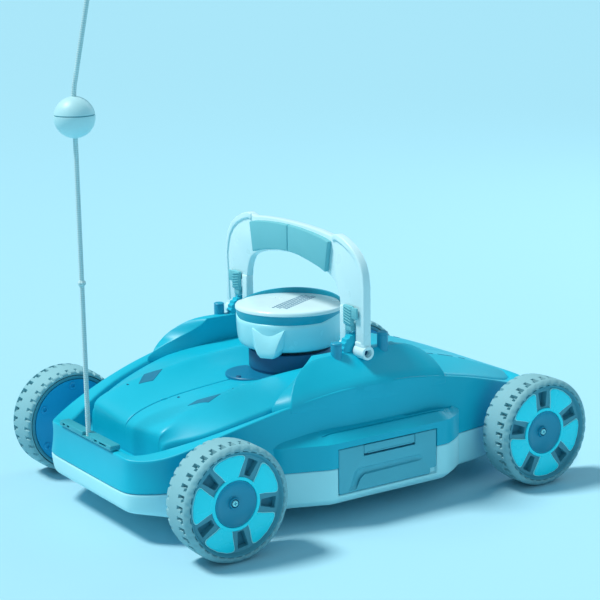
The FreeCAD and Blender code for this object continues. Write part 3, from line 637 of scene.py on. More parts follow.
def skin_patch(name, corners, levels, look, slot_name):
    """A thin shape that follows the hood and stands for a sunk one; levels are (share of its size, lift)
    pairs.
    """
    edge, steps = [], 6
    for (x0, y0), (x1, y1) in zip(corners, corners[1:] + corners[:1]):
        edge += [(x0 + (x1 - x0) * k / steps, y0 + (y1 - y0) * k / steps) for k in range(steps)]
    mid_x, mid_y = (sum(values) / len(edge) for values in zip(*edge))
    patch = drawn_up(name, [[hood_spot(mid_x + (x - mid_x) * share, mid_y + (y - mid_y) * share, lift)
                             for x, y in edge] for share, lift in levels], close_low=True, close_high=True)
    return finished(smooth(recalculated(patch), 30), "chassis", look, slot_name)


def make_dart(side, word):
    """One diamond dart beside the groove."""
    skin_patch("hood_dart_" + word, [(side * x, y) for x, y in dart_plan],
               [(1.0, -1.2), (1.0, 0.35), (0.95, 0.45), (0.86, 0.15), (0.5, 0.15), (0.1, 0.15)],
               slot_shade_look, "dark_blue")


def make_vents(side, word):
    """Four narrow vents in a row on the rear half of the hood."""
    for k, (y0, y1) in enumerate(((86, 114), (124, 144), (152, 172), (182, 190))):
        plan = [(side * x, y) for x, y in ((60.5, y0), (63.5, y0), (63.5, y1), (60.5, y1))]
        skin_patch("hood_vent_%s_%d" % (word, k), plan,
                   [(1.0, -1.0), (1.0, 0.30), (0.9, 0.30), (0.5, 0.25), (0.1, 0.25)], slot_shade_look, "dark_blue")


for_both(make_dart)
for_both(make_vents)


def button_disc(name, place, radii, body, look, slot_name, *nodes, sides=48, stretch=(1, 1)):
    """A round part from stacked circles: (radius, height) in millimetres from its place."""
    bands = []
    for radius, height in radii:
        bands.append([Vector((place[0] + stretch[0] * radius / 1000 * math.cos(2 * math.pi * k / sides),
                              place[1] + stretch[1] * radius / 1000 * math.sin(2 * math.pi * k / sides),
                              place[2] + height / 1000)) for k in range(sides)])
    disc = drawn_up(name, bands, close_low=True, close_high=True)
    return finished(smooth(disc, 35), body, look, slot_name, *nodes)


bead_spot = hood_spot(2.2, -167)
button_disc("groove_bead", (0, bead_spot.y, bead_spot.z), [(3.2, -2), (3.2, 0.2), (2.6, 0.9), (1.2, 1.2)],
            "chassis", shell_look, "shell_turquoise", sides=24, stretch=(0.75, 1.7))
# Two small holes and a pip, drawn as thin discs whose dark blue is painted shade.
for name, x, y, radius in (("hood_hole", 11, -156, 2.4), ("hood_hole_far", -62, -178, 1.8),
                           ("hood_pip", 59, -118, 1.0)):
    button_disc(name, hood_spot(x, y), [
        (radius, -1.5), (radius, 0.12), (radius * 0.8, 0.2), (radius * 0.7, 0.05)],
        "chassis", dark_look, "dark_blue", sides=20)

pad_low, pad_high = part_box("power_pad")
pad_look = moulded("pad_blue", (0.0, 0.21, 0.38), 0.38, shade=0.06)
pad_x, pad_y = (pad_low.x + pad_high.x) / 2, -0.056
button_low, button_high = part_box("power_button")
button_x, button_y = (button_low.x + button_high.x) / 2, (button_low.y + button_high.y) / 2
button_disc("power_pad_disc", (pad_x, pad_y, pad_high.z), [
    (30.8, -6), (30.8, -0.9), (30.2, -0.2), (29.2, 0.0), (27.5, -0.4), (12, -0.6), (2, -0.6)],
    "chassis", pad_look, "dark_blue", "power_pad", sides=72)
button_disc("power_button_cap", (button_x, button_y, pad_high.z), [
    (3.0, -5), (3.0, 0.1), (2.6, 0.6), (1.7, 0.7), (1.2, 0.4)], "power_button", dark_look, "button_dark",
    "power_button", sides=28)

# ---- Fins: the two plastic wings that carry the handle's pivots, screwed on the shoulders. Each
# rises to a level ridge, with a quarter-round ramp at both ends, a toothed sector and two knobs.
pivot_z = 0.169
knob_look = moulded("knob_blue", (0.0, 0.33, 0.50), 0.36, shade=0.08)
ridge_z, ridge_front, ridge_rear = 0.168, -0.045, 0.050
fin_bottom = 0.122
shoulder_line = [(-0.103, 0.1445, 0.129), (-0.06, 0.1480, 0.136), (-0.02, 0.1500, 0.1405),
                 (0.02, 0.1500, 0.1405), (0.06, 0.1480, 0.136), (0.100, 0.1445, 0.129)]


def along(table, y, column):
    """Read a column of a table between its rows."""
    if y <= table[0][0]:
        return table[0][column]
    for a, b in zip(table, table[1:]):
        if y <= b[0]:
            return a[column] + (b[column] - a[column]) * (y - a[0]) / (b[0] - a[0])
    return table[-1][column]


def fin_ring(t):
    """One level of the wing: outer face from front to rear, then the inner face back."""
    arch = math.sqrt(max(0.0, 1 - t ** 1.9))
    front_out, rear_out = ridge_front - 0.056 * arch, ridge_rear + 0.048 * arch
    ramp = 1 - t * t * (3 - 2 * t)
    front_in, rear_in = ridge_front - 0.006 - 0.066 * ramp, ridge_rear + 0.004 + 0.055 * ramp
    outer, inner, steps = [], [], 11
    for k in range(steps):
        y = front_out + (rear_out - front_out) * k / (steps - 1)
        foot_x, foot_z = along(shoulder_line, y, 1), along(shoulder_line, y, 2)
        low = fin_bottom if t == 0 else foot_z - 0.002
        z = low + (ridge_z - low) * max(0.0, (t - 0.06) / 0.94) if t else fin_bottom
        lean = (z - foot_z) / (ridge_z - foot_z)
        x = foot_x - 0.0004 + (0.1185 - foot_x) * max(0.0, min(1.0, lean)) ** 1.15
        outer.append(Vector((x, y, z)))
        y_in = front_in + (rear_in - front_in) * k / (steps - 1)
        blend = abs(2 * k / (steps - 1) - 1) ** 3
        inner.append(Vector((0.1055 + 0.025 * ramp * blend, y_in, z)))
    return outer + list(reversed(inner))


def flip(bands, side):
    """The bands as they are for the left side, or mirrored for the right."""
    return [[Vector((side * p.x, p.y, p.z)) for p in band] for band in bands]


def make_fin(side, word):
    """A wing with its toothed sector and its two stop knobs."""
    levels = [0, 0.06, 0.2, 0.36, 0.52, 0.67, 0.8, 0.9, 0.965, 1.0]
    wing = drawn_up("fin_wing_" + word, flip([fin_ring(t) for t in levels], side), close_low=True,
                    close_high=True)
    softened(wing, 0.0022, 3, 35)
    finished(smooth(wing, 42), "chassis", shell_look, "shell_turquoise", "fin_" + word)
    tooth_points, tip_radius, root_radius = 40, 0.0178, 0.0164
    teeth = []
    for k in range(tooth_points):
        turn = 2 * math.pi * k / tooth_points
        radius = tip_radius if k % 2 else root_radius
        teeth.append((radius * math.cos(turn), radius * math.sin(turn)))
    sector_bands = [[Vector((x, y * share, pivot_z + z * share)) for y, z in teeth]
                    for x, share in ((0.1075, 0.9), (0.1082, 1.0), (0.1170, 1.0), (0.1177, 0.9))]
    sector = drawn_up("tilt_sector_" + word, flip(sector_bands, side), close_low=True, close_high=True)
    finished(smooth(sector, 30), "chassis", shell_look, "shell_turquoise")
    for end, y, top_z in (("front", -27, 181), ("rear", 33, 184)):
        button_disc("tilt_stop_%s_%s" % (end, word), (side * 0.118, y / 1000, top_z / 1000), [
            (5.9, -30), (5.9, -3.2), (5.5, -3.0), (5.5, -2.4), (5.9, -2.2), (5.9, -0.9), (5.2, -0.2),
            (4.2, 0.0), (3.2, -0.5), (2.0, -0.6)], "chassis", knob_look, "shell_turquoise", sides=36)


for_both(make_fin)

# ---- Outlet head: a pale glossy plastic bowl with a pouring lip, screwed on a neck whose dark blue is painted shade
# under the bowl; the bowl's cyan tint is painted shade on the lid's white. A turquoise ring stands between
# the bowl and a white lid with a slanting band of fine holes.
head_x, head_y = 0.0, -0.0075
white_look = moulded("head_white", (0.72, 0.93, 0.96), 0.24, grain=0.012, shade=0.03, gloss=0.6)
# The bowl and its spout are the lid's white painted darker and bluer: painted shade.
bowl_shaded_look = moulded("bowl_white_shaded", (0.42, 0.88, 0.96), 0.24, grain=0.012, shade=0.03, gloss=0.6)
ring_look = moulded("ring_turquoise", (0.0, 0.40, 0.55), 0.3, shade=0.08)
# The neck and the lid's holes are painted near black blue: painted shade under the bowl and inside the holes.
deep_shade_look = moulded("neck_and_hole_shade", (0.0, 0.13, 0.27), 0.45, shade=0.1)
button_disc("head_neck_tube", (head_x, head_y, 0.150), [
    (45.8, -52), (45.8, -24), (44.5, -22.5), (44.5, -20), (45.8, -18.5), (45.8, -1.5), (45.0, 0.0),
    (41.5, 0.0), (41.5, -4.0)], "chassis", deep_shade_look, "dark_blue", "head_neck", sides=96)

head_sides = 96
spout_turn = math.radians(-57)
lid_front = math.radians(-50)


def head_band(radius, z, spout=0.0, tilt=0.0, rise=0.0, shoulder=0.0):
    """A band of the head, in millimetres: spout pushes out a lip, tilt lifts the front, rise
    the back and shoulder all but the front."""
    band = []
    for k in range(head_sides):
        turn = 2 * math.pi * k / head_sides
        apart = math.atan2(math.sin(turn - spout_turn), math.cos(turn - spout_turn))
        lip = spout * max(0.0, 1 - (apart / 0.235) ** 2) ** 0.8
        r = (radius + lip) / 1000
        x, y = r * math.cos(turn), r * math.sin(turn)
        front = math.cos(turn - lid_front)
        lift = tilt * r * front + rise / 1000 * max(0.0, -front - 0.1) ** 0.8
        lift += shoulder / 1000 * (1 - min(1.0, max(0.0, (front - 0.2) / 0.4)))
        band.append(Vector((head_x + x, head_y + y, z / 1000 + lift)))
    return band


bowl = drawn_up("head_bowl_skin", [
    head_band(42, 156.2), head_band(48, 155.6, 1.5), head_band(52.5, 155.8, 3.8), head_band(55.0, 157.6, 4.6),
    head_band(56.6, 160.5, 3.6), head_band(57.6, 165.0, 1.6), head_band(58.2, 171, 0.6),
    head_band(58.6, 177.0), head_band(58.8, 182), head_band(58.8, 185.0, shoulder=6),
    head_band(58.2, 187.0, shoulder=6.5), head_band(57.4, 187.4, shoulder=6.5),
    head_band(56.6, 186.8, shoulder=6.5), head_band(56.2, 182), head_band(54.0, 174),
    head_band(42.0, 162), head_band(41.4, 158)])
softened(bowl, 0.0003, 2, 60)
finished(smooth(bowl, 50), "chassis", bowl_shaded_look, "hull_white", "head_bowl")
spout_bands = []
out = Vector((math.cos(spout_turn), math.sin(spout_turn), 0))
across = Vector((-out.y, out.x, 0))
head_centre = Vector((head_x, head_y, 0))
for reach, wide, low, top in ((50.0, 20.0, 153.8, 184.0), (58.3, 19.0, 152.8, 182.0),
                              (61.6, 14.5, 151.6, 171.0), (63.8, 11.0, 151.4, 160.5)):
    dip, waist = top - 0.2 * (top - low), low + 0.35 * (top - low)
    spout_bands.append([
        head_centre + out * (reach / 1000) + across * (wide * share / 1000) + Vector((0, 0, z / 1000))
        for share, z in ((-1, top), (-0.35, dip), (0.35, dip), (1, top), (0.92, waist), (0.6, low),
                         (-0.6, low), (-0.92, waist))])
spout = drawn_up("head_spout", spout_bands, close_low=True, close_high=True)
softened(recalculated(spout), 0.0004, 2, 30)
finished(smooth(spout, 30), "chassis", bowl_shaded_look, "hull_white")

ring_tube = drawn_up("head_ring_band", [
    head_band(55.0, 182.0), head_band(57.6, 182.2), head_band(58.0, 188.0), head_band(59.4, 196.0, rise=7.5),
    head_band(59.2, 197.0, rise=7.5), head_band(58.4, 197.4, rise=7.5), head_band(57.2, 196.6, rise=7.5),
    head_band(56.2, 191)])
finished(smooth(ring_tube, 40), "chassis", ring_look, "shell_turquoise", "head_ring")

lid_tilt = 0.034
lid = drawn_up("head_lid_skin", [head_band(radius, z, tilt=lid_tilt) for radius, z in (
    (51.0, 194.6), (55.4, 194.8), (56.4, 195.8), (56.8, 197.2), (56.4, 199.0), (55.4, 200.2), (52.0, 200.8),
    (36.0, 201.2), (10, 201.4))], close_low=True, close_high=True)
softened(lid, 0.0003, 2, 60)
finished(smooth(lid, 40), "chassis", white_look, "hull_white", "head_lid")
brow = drawn_up("head_brow", [head_band(radius, z, tilt=lid_tilt) for radius, z in (
    (51.0, 194.4), (58.6, 194.2), (59.8, 195.2), (59.7, 197.6), (58.4, 199.4), (55.0, 200.6), (51.0, 200.2))])
sliced(brow, head_centre, (-math.cos(lid_front), -math.sin(lid_front), 0))
finished(smooth(brow, 40), "chassis", white_look, "hull_white")

# The lid's fine holes are five rows of small discs that lie on it and are not bored; their dark blue is
# painted shade.
pits, pit_pitch, row_pitch, hole_field = [], 0.0052, 0.0040, 0.050
band_middle, band_along, band_across = Vector((0.008, -0.006)), Vector((-0.52, 0.854)), Vector((0.854, 0.52))
for row in range(5):
    for place in range(15):
        spot = band_middle + band_along * ((place - 7 + 0.5 * (row % 2)) * pit_pitch)
        spot += band_across * ((row - 2) * row_pitch)
        if math.hypot(spot.x - head_x, spot.y - head_y) > hole_field:
            continue
        bpy.ops.object.select_all(action="DESELECT")
        top = lid.ray_cast(Vector((spot.x, spot.y, above_all)), straight_down)[1]
        bpy.ops.mesh.primitive_circle_add(vertices=10, radius=0.00155, fill_type="NGON",
                                          location=(spot.x, spot.y, top.z + 0.00015))
        pits.append(bpy.context.object)
holes = joined(pits, "lid_holes")
holes.modifiers.new("depth", "SOLIDIFY").thickness = 0.0006
finished(settle(holes), "chassis", deep_shade_look, "dark_blue")

# ---- Filter drawers: a grey-blue plastic door with a rounded outline, a sunk finger grip and a
# notch for the latch, moulded with its tray. The latch is a separate sprung tab above the grip.
door_look = moulded("door_teal", (0.09, 0.48, 0.60), 0.42, grain=0.03, shade=0.07, texture=1400)
mesh_look = moulded("filter_mesh", (0.66, 0.82, 0.85), 0.7, grain=0.2, shade=0.1, texture=2600)
latch_low, latch_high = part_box("latch_left")
grip_middle_y, grip_middle_z = 0.002, 0.0525
finger_grip = [(-0.046, 0.0345), (-0.038, 0.0545), (-0.033, 0.0575), (0.046, 0.0575), (0.050, 0.0545),
               (0.050, 0.0525), (0.047, 0.0505), (-0.026, 0.0490), (-0.031, 0.0455), (-0.037, 0.0345)]


def refinished(node_name, look):
    """Give a CAD node that stays in view its finish."""
    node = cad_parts[node_name]
    node.data.materials.clear()
    node.data.materials.append(look)


def make_drawer(side, word):
    """A door with its tray and outer ribs, its latch tab and a dark sheet of painted shade on the floor of
    the latch's notch.
    """
    y0, y1, x1 = door_y0, door_y1, door_front
    plan = [(y0, 0.0345), (y0 + 0.0015, door_foot), (y1 - 0.0095, door_foot), (y1 - 0.008, 0.0345),
            (y1 - 0.008, 0.039), (y1 - 0.0015, 0.039), (y1, 0.0405), (y1, door_top), (y0, door_top)]
    bands = []
    for x, inset in ((x1 - 0.0037, 0.0), (x1 - 0.0007, 0.0), (x1 - 0.0002, 0.0004), (x1, 0.0009)):
        middle = Vector(((y0 + y1) / 2, 0.057))
        bands.append([Vector((x, y + math.copysign(inset, middle.x - y),
                              z + math.copysign(inset, middle.y - z))) for y, z in plan])
    door = drawn_up("drawer_door_" + word, bands, close_low=True, close_high=True)
    notch = bar_tool("notch", (x1 - 0.010, latch_low.y - 0.0005, latch_low.z - 0.0022),
                     (clear_x, latch_high.y + 0.0005, 0.09))
    grip_bands = []
    for x, share in ((x1 + 0.002, 1.0), (x1 - 0.0001, 0.99), (x1 - 0.0022, 0.80), (x1 - 0.0029, 0.66)):
        grip_bands.append([Vector((x, grip_middle_y + (y - grip_middle_y) * (0.5 + share / 2),
                                   grip_middle_z + (z - grip_middle_z) * share)) for y, z in finger_grip])
    hollow = drawn_up("hollow", grip_bands, close_low=True, close_high=True)
    carve(door, notch, hollow)
    softened(door, 0.0004, 2, 30)
    tray = bar_tool("tray", (0.1005, y0 + 0.0078, 0.0372), (x1 - 0.0033, y1 - 0.0078, 0.0668), 0.001, 2)
    room = bar_tool("room", (0.1022, y0 + 0.0095, 0.0390), (x1 - 0.0055, y1 - 0.0095, 0.08), 0.001, 2)
    carve(tray, room)
    ribs = [bar_tool("rib", (x, y0 + 0.0070, 0.0385), (x + 0.0020, y0 + 0.0080, 0.0640), 0.0003, 1)
            for x in (0.1065, 0.1160, 0.1255, 0.1350, 0.1445)]
    door = mirrored(recalculated(joined([door, tray] + ribs, door.name)), side)
    finished(smooth(door, 35), "drawer_" + word, door_look, "door_grey", "drawer_" + word)
    tab = bar_tool("latch_tab_" + word, (x1 - 0.0034, latch_low.y + 0.0003, latch_low.z + 0.0002),
                   (x1 - 0.0001, latch_high.y - 0.0003, latch_high.z - 0.0001), 0.0005, 2)
    lip = bar_tool("lip", (x1 - 0.0006, latch_low.y + 0.004, latch_low.z + 0.0001),
                   (x1 + 0.0004, latch_high.y - 0.004, latch_low.z + 0.0014), 0.0003, 2)
    tab = mirrored(recalculated(joined([tab, lip], tab.name)), side)
    finished(smooth(tab, 35), "latch_" + word, door_look, "door_grey", "latch_" + word)
    # A dark sheet on the notch's floor: painted shade in the latch's notch.
    shade = bar_tool("door_shadow_" + word, (x1 - 0.0041, latch_low.y - 0.0003, latch_low.z - 0.0021),
                     (x1 - 0.0035, latch_high.y + 0.0003, 0.0805), 0.0001, 1)
    finished(mirrored(shade, side), "drawer_" + word, dark_look, "door_grey")
    refinished("filter_" + word, mesh_look)


for_both(make_drawer)

# ---- Carry handle: a white plastic arch with a raised band along each shoulder, a soft grey
# rubber grip let into its front and a ribbed sliding lock on each leg. It turns on two pins.
handle_look = moulded("handle_white", (0.66, 0.90, 0.94), 0.28, grain=0.012, shade=0.03, gloss=0.5)
grip_look = moulded("grip_grey", (0.17, 0.53, 0.60), 0.62, grain=0.12, shade=0.06, gloss=0.25, texture=1500)
arch_outer = [(136.9, 178), (136.9, 215), (136.9, 240), (135.1, 252), (131, 262.5), (123.5, 272),
              (113, 279.5), (100, 285.5), (88, 288.6), (81, 287.4), (76, 286.0), (52, 288.6), (26, 289.8),
              (0, 290.2)]
arch_inner = [(119.7, 178), (119.7, 199), (117.5, 206.5), (96, 208), (92.2, 214), (91, 222), (88, 230),
              (83, 237.5), (77, 241.5), (73, 243.0), (69, 244.6), (52, 249.4), (26, 253.4), (0, 255)]


def whole_arch(half):
    """Both halves of an outline, from the left foot over the top to the right foot."""
    points = [(x / 1000, z / 1000) for x, z in half]
    return points + [(-x, z) for x, z in reversed(points[:-1])]


outer_line, inner_line = whole_arch(arch_outer), whole_arch(arch_inner)


def arch_slab(name, y0, y1, first, second, bevel):
    """A slab between two outlines in the arch's plane."""
    outline = first + list(reversed(second))
    slab = drawn_up(name, [[Vector((x, y, z)) for x, z in outline] for y in (y0, y1)],
                    close_low=True, close_high=True)
    return softened(slab, bevel, 3, 38)


def inset_line(line, other, depth):
    """A line moved towards another by a depth."""
    moved = []
    for (x, z), (u, w) in zip(line, other):
        span = math.hypot(u - x, w - z)
        moved.append((x + (u - x) * depth / span, z + (w - z) * depth / span))
    return moved


arch = arch_slab("handle_arch", -0.0036, 0.0049, inset_line(outer_line, inner_line, 0.0005), inner_line,
                 0.0014)
finished(smooth(arch, 40), "handle", handle_look, "handle_white", "handle_frame")
shoulder_count = 10
for name, part in (("handle_band_left", slice(0, shoulder_count)),
                   ("handle_band_right", slice(-shoulder_count, None))):
    line = outer_line[part]
    arch_band = arch_slab(name, -0.0050, 0.0044, line, inset_line(line, inner_line[part], 0.0068), 0.0011)
    finished(smooth(arch_band, 40), "handle", handle_look, "handle_white")


def pivot_bar(name, x, radius, depth, vertices):
    """A round bar about the pivot's axis."""
    bpy.ops.object.select_all(action="DESELECT")
    bpy.ops.mesh.primitive_cylinder_add(vertices=vertices, radius=radius, depth=depth,
                                        location=(x, 0, pivot_z), rotation=(0, math.pi / 2, 0))
    return settle(named(name))


def make_leg(side, word):
    """The inner leg with its eye, and the outer foot: a block on an open barrel."""
    leg = bar_tool("handle_inner_leg_" + word, (0.0925, -0.0048, pivot_z), (0.1034, 0.0048, 0.214), 0.0016)
    finished(smooth(mirrored(leg, side), 40), "handle", handle_look, "handle_white")
    eye = softened(pivot_bar("handle_eye_" + word, side * 0.0978, 0.0075, 0.0112, 48), 0.0008, 3, 40)
    finished(smooth(eye, 40), "handle", handle_look, "handle_white")
    barrel = pivot_bar("handle_barrel_" + word, side * 0.1289, 0.0074, 0.0180, 64)
    carve(barrel, pivot_bar("bore", side * 0.1373, 0.0045, 0.0160, 48))
    # A dark disc at the bore's floor: painted shade in the socket.
    socket_shade = pivot_bar("socket_shade_disc_" + word, side * 0.1299, 0.0044, 0.0006, 32)
    finished(socket_shade, "handle", dark_look, "handle_white")
    softened(barrel, 0.0006, 3, 40)
    foot = bar_tool("foot", (side * 0.1283 - 0.0085, -0.0048, 0.1715),
                    (side * 0.1283 + 0.0085, 0.0048, 0.1795), 0.0014)
    barrel = joined([barrel, foot], barrel.name)
    finished(smooth(barrel, 40), "handle", handle_look, "handle_white", "handle_foot_" + word)


for_both(make_leg)

# The grip's outlines in millimetres, from its outer end to the seam.
half_seam = 0.5
grip_top = [(78, 279.5), (66, 282.2), (42, 284.8), (20, 286.2), (half_seam, 286.6)]
grip_low = [(72, 245.8), (60, 249.5), (40, 253.4), (20, 256.4), (half_seam, 257.4)]


def make_grip(side, word):
    """Half of the grip, up to the seam in the middle of the arch."""
    top, low = ([(side * x / 1000, z / 1000) for x, z in line] for line in (grip_top, grip_low))
    half = recalculated(arch_slab("grip_" + word, -0.0090, -0.0030, top, low, 0.0014))
    finished(smooth(half, 40), "handle", grip_look, "grip_grey", *(("handle_grip",) if side > 0 else ()))


for_both(make_grip)
seam = bar_tool("grip_seam", (-0.0012, -0.0076, 0.2578), (0.0012, -0.0034, 0.2862), 0.0002, 1)
finished(seam, "handle", ring_look, "grip_grey")


def make_lock(side, word):
    """The slider's body with slanting ribs, and a small hook on its outer side."""
    body = bar_tool("lock_slide_" + word, (0.1035, -0.0080, 0.1956), (0.1190, -0.0042, 0.2168), 0.0011)
    parts = [body, bar_tool("hook", (0.1180, -0.0078, 0.2035), (0.1275, -0.0052, 0.2160), 0.0010, 2),
             bar_tool("tongue", (0.1060, -0.0070, 0.1892), (0.1165, 0.0035, 0.1965), 0.0008, 2)]
    first_rib, rib_pitch, half_rib, rib_slant = 0.1990, 0.0030, 0.00055, math.radians(-11)
    for k in range(6):
        z = first_rib + rib_pitch * k
        rib = bar_tool("rib", (0.1045, -0.0091, z - half_rib), (0.1182, -0.0075, z + half_rib), 0.0004, 2)
        picked(rib)
        bpy.ops.object.mode_set(mode="EDIT")
        bpy.ops.mesh.select_all(action="SELECT")
        bpy.ops.transform.rotate(value=rib_slant, orient_axis="Y", center_override=(0.1113, -0.008, z))
        bpy.ops.object.mode_set(mode="OBJECT")
        parts.append(rib)
    body = mirrored(recalculated(joined(parts, body.name)), side)
    finished(smooth(body, 35), "lock_" + word, grip_look, "grip_grey", "lock_" + word)


for_both(make_lock)

# ---- Wheels: four alike. A soft rubber tyre with slotted lugs sits on a moulded plastic rim with
# five pockets, under a cyan face of five petals and a dished hub cap held by a cross-head screw.
# A blue disc with six screw bosses closes the back.
tyre_look = moulded("tyre_rubber", (0.23, 0.48, 0.54), 0.66, grain=0.1, shade=0.10, gloss=0.3, texture=700)
rim_look = moulded("rim_grey_blue", (0.06, 0.30, 0.39), 0.45, shade=0.08)
petal_look = moulded("petal_cyan", (0.0, 0.84, 1.0), 0.26, shade=0.03, gloss=0.5)
pale_look = moulded("petal_edge", (0.34, 0.90, 0.95), 0.34, shade=0.04)
cap_look = moulded("cap_blue", (0.0, 0.29, 0.45), 0.34, shade=0.06)
# The pockets' floors are a darker tone than the rim: painted shade inside the pockets.
pocket_shade_look = moulded("pocket_floor_shade", (0.02, 0.20, 0.29), 0.5, shade=0.06)
disc_look = moulded("disc_blue", (0.0, 0.36, 0.66), 0.38, shade=0.06)
lug_count, phases = 34, 8


def wheel_band(x, radius, sides, depth=None):
    """A ring about the axle at x and radius in millimetres; depth sinks some of its points."""
    band = []
    for k in range(sides):
        turn = 2 * math.pi * k / sides
        r = (radius - (depth(k % phases) if depth else 0)) / 1000
        band.append(Vector((x / 1000, r * math.cos(turn), r * math.sin(turn))))
    return band


def lug_depth(x):
    """How deep the tread is cut at x for each of the eight phases of a lug."""
    def depth(phase):
        if 1 <= x <= 8 and phase in (0, 1):
            return 2.4
        if 25.5 <= x <= 35 and phase in (3, 4):
            return 4.6
        if 31.5 <= x <= 35 and phase in (5, 6):
            return 4.0
        if x >= 39 and phase in (7, 0, 1):
            return 1.3
        return 0.0
    return depth


tyre_rows = [(0.2, 54.2), (0.2, 56.0), (1.0, 57.6), (1.6, 58.2), (5, 59.0), (7.8, 59.3), (8.3, 59.4),
             (16, 59.9), (24.9, 59.95), (25.5, 59.95), (31.2, 59.9), (31.6, 59.9), (35, 59.75),
             (35.6, 59.7), (37.2, 59.2), (37.8, 59.0), (39.4, 57.9), (40.3, 56.8), (40.9, 55.8),
             (40.9, 54.8), (39.4, 53.6)]
tyre_master = drawn_up("tyre_master", [
    wheel_band(x, r, lug_count * phases, lug_depth(x)) for x, r in tyre_rows])

rim_profile = [(2, 13), (25, 13), (25.5, 47.5), (1, 49.4), (0.3, 51), (0.3, 53.3), (39.6, 53.3), (40.2, 52.9),
               (40.2, 52.0), (39.4, 51.3), (37.2, 50.4), (36.2, 49.6), (36, 48.8), (36, 25.4), (31.2, 24.9),
               (31.0, 4.2)]
rim_master = drawn_up("rim_master", [wheel_band(x, r, 120) for x, r in rim_profile])
first_pocket, pocket_step = 63, 72


def polar_slab(name, outline, x0, x1, turn, bevel):
    """A slab whose outline is (radius, degrees from its middle), turned about the axle."""
    points = [(r / 1000, math.radians(turn + a)) for r, a in outline]
    bands = [[Vector((x / 1000, r * math.cos(a), r * math.sin(a))) for r, a in points] for x in (x0, x1)]
    slab = drawn_up(name, bands, close_low=True, close_high=True)
    return softened(slab, bevel / 1000, 3, 40) if bevel else slab


pocket_tools, petals, edges, shadows = [], [], [], []
pocket_half = [(29.5, 5.6), (30.3, 6.8), (45.6, 7.6), (46.6, 6.8)]
petal_half = [(27.0, 14), (29, 16.5), (33.5, 18.0), (44.8, 22.4), (47.2, 21.8), (48.5, 18.5), (49.0, 12)]
pocket_outline = [(r, -a) for r, a in pocket_half] + pocket_half[::-1]
petal_outline = [(r, -a) for r, a in petal_half] + [(49.1, 0)] + petal_half[::-1] + [(26.8, 0)]
edge_outline = [(r + (0.75 if r > 40 else -0.6), a * 1.045) for r, a in petal_outline]
for k in range(5):
    pocket_turn = first_pocket + pocket_step * k
    petal_turn = pocket_turn + pocket_step / 2
    pocket_tools.append(polar_slab("pocket", pocket_outline, 28.5, 40, pocket_turn, 0))
    shadows.append(polar_slab("pocket_floor_shade", pocket_outline, 28.2, 29.0, pocket_turn, 0))
    edges.append(polar_slab("edge", edge_outline, 35.6, 37.0, petal_turn, 0.35))
    petals.append(polar_slab("petal", petal_outline, 36.2, 37.5, petal_turn, 0.5))
carve(rim_master, *pocket_tools)
softened(rim_master, 0.0004, 2, 40)
ring_master = drawn_up("ring_master", [wheel_band(x, r, 96) for x, r in (
    (34.8, 23.9), (36.9, 23.9), (37.4, 24.4), (37.4, 26.8), (36.9, 27.4), (35.8, 27.4))])
face_master = joined(petals + [ring_master], "face_master")
edge_master = joined(edges, "edge_master")
pocket_shade_master = joined(shadows, "pocket_shade_master")
cap_master = drawn_up("cap_master", [wheel_band(x, r, 96) for x, r in (
    (31.2, 23.7), (36.0, 23.7), (36.6, 23.2), (36.6, 22.6), (35.8, 21.8), (34.6, 19.6), (33.2, 16),
    (32.1, 11), (31.8, 6.6), (32.2, 6.0), (34.3, 5.7), (34.9, 5.2), (34.9, 4.5), (32.6, 4.3), (32.6, 3.2),
    (35.0, 3.0), (35.3, 2.6))], close_low=True, close_high=True)
screw_master = drawn_up("screw_master", [wheel_band(x, r, 48) for x, r in (
    (32.4, 3.1), (35.2, 3.1), (35.6, 2.7))], close_low=True, close_high=True)
# A dark disc round the screw: painted shade in the hub cap's screw well.
well_shade_master = drawn_up("well_shade_master", [wheel_band(x, r, 48) for x, r in ((32.0, 4.5), (32.9, 4.5))],
                       close_low=True, close_high=True)
cross = [bar_tool("cross", (0.0345, -0.0020, -0.0005), (0.037, 0.0020, 0.0005)),
         bar_tool("cross", (0.0345, -0.0005, -0.0020), (0.037, 0.0005, 0.0020))]
carve(screw_master, *cross)
cover_master = drawn_up("cover_master", [wheel_band(x, r, 96) for x, r in (
    (2.8, 13.3), (0.9, 13.4), (0.7, 16), (1.3, 18), (1.3, 38), (0.4, 47.5), (0.2, 49.0), (2.8, 49.0))])
bosses, boss_circle = [], 0.0425
for k in range(6):
    turn = math.radians(60 * k + 12)
    centre = Vector((0, boss_circle * math.cos(turn), boss_circle * math.sin(turn)))
    bosses.append(drawn_up("boss", [
        [centre + point for point in wheel_band(x, r, 20)]
        for x, r in ((2, 4.1), (-0.2, 4.0), (-0.6, 3.4), (-0.6, 2.2), (0.8, 2.0))],
        close_low=True, close_high=True))
cover_master = joined([cover_master] + bosses, "cover_master")
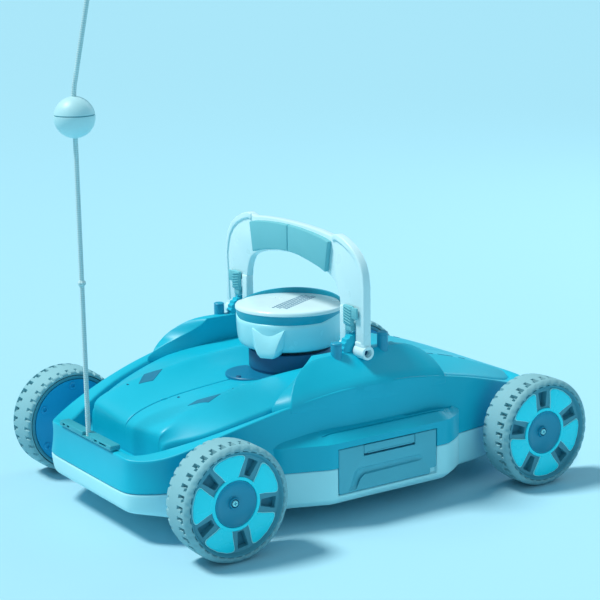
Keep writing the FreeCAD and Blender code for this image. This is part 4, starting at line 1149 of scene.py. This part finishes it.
# Each master's part name, finish, slot, whether it stands for a CAD node, and smoothing angle.
masters = [(tyre_master, "tyre", tyre_look, "tyre_blue", True, 38),
           (rim_master, "rim", rim_look, "rim_grey", True, 35),
           (face_master, "face", petal_look, "wheel_cyan", True, 35),
           (edge_master, "petal_edge", pale_look, "wheel_cyan", False, 35),
           (pocket_shade_master, "pocket_floor_shade", pocket_shade_look, "rim_grey", False, 30),
           (screw_master, "screw", pale_look, "cover_blue", False, 30),
           (well_shade_master, "screw_well_shade", dark_look, "cover_blue", False, 30),
           (cap_master, "cap", cap_look, "cover_blue", True, 35),
           (cover_master, "cover", disc_look, "cover_blue", True, 35)]
axle_z = 0.060
for row in masters:
    recalculated(row[0])
for corner, side, spin in (("front_left", 1, 0), ("front_right", -1, 20), ("rear_left", 1, 31),
                           ("rear_right", -1, 50)):
    low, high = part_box("tyre_" + corner)
    place = Matrix.Translation(((low.x if side > 0 else high.x), (low.y + high.y) / 2, axle_z))
    place = place @ Matrix.Scale(side, 4, (1, 0, 0)) @ Matrix.Rotation(math.radians(spin), 4, "X")
    for master, part, look, slot_name, stands, angle in masters:
        mesh = master.data.copy()
        piece = bpy.data.objects.new("wheel_%s_%s" % (part, corner), mesh)
        scene.collection.objects.link(piece)
        mesh.transform(place)
        if side < 0:
            recalculated(piece)
        nodes = [part + "_" + corner] if stands else []
        finished(smooth(piece, angle), "wheel_" + corner, look, slot_name, *nodes)
for row in masters:
    bpy.data.objects.remove(row[0])

# ---- Inner and under parts: steel axles and pins, the rubber lips and the plastic plate of the
# suction opening, and the cases inside the hull. They are shown as they stand in the frame.
steel_look = moulded("axle_steel", (0.55, 0.62, 0.66), 0.28, grain=0.01, shade=0.1)
steel_look.node_tree.nodes["Principled BSDF"].inputs["Metallic"].default_value = 1.0
rubber_look = moulded("lip_rubber", (0.03, 0.20, 0.27), 0.75, grain=0.08, shade=0.12)
plate_look = moulded("plate_grey", (0.16, 0.42, 0.49), 0.5, shade=0.1)
inner_look = moulded("inner_case", (0.20, 0.27, 0.30), 0.55, shade=0.1)
carried = {
    steel_look: ("axle_front", "axle_rear", "pivot_pin_left", "pivot_pin_right"),
    rubber_look: ("intake_lip_front", "intake_lip_rear"), plate_look: ("underside_plate",),
    inner_look: ("motor_box", "battery_pack", "drive_unit", "impeller"),
}
for look, names in carried.items():
    for name in names:
        refinished(name, look)

# ---- Battery hatch: a thin door of the hull's plastic, held in the hull's floor by four screws
# under the battery. It stands for no part of the frame.
battery_low, battery_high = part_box("battery_pack")
hatch = bar_tool("battery_hatch", (battery_low.x - 0.004, battery_low.y - 0.003, battery_low.z - 0.0031),
                 (battery_high.x + 0.004, battery_high.y + 0.004, battery_low.z - 0.0002), 0.0008, 2)
screw_holes = []
for x in (battery_low.x + 0.004, battery_high.x - 0.004):
    for y in (battery_low.y + 0.010, battery_high.y - 0.006):
        bpy.ops.mesh.primitive_cylinder_add(vertices=24, radius=0.003, depth=0.0024,
                                            location=(x, y, battery_low.z - 0.0031))
        screw_holes.append(bpy.context.object)
carve(hatch, *screw_holes)
finished(smooth(hatch, 30), "chassis", white_look, "hull_white")
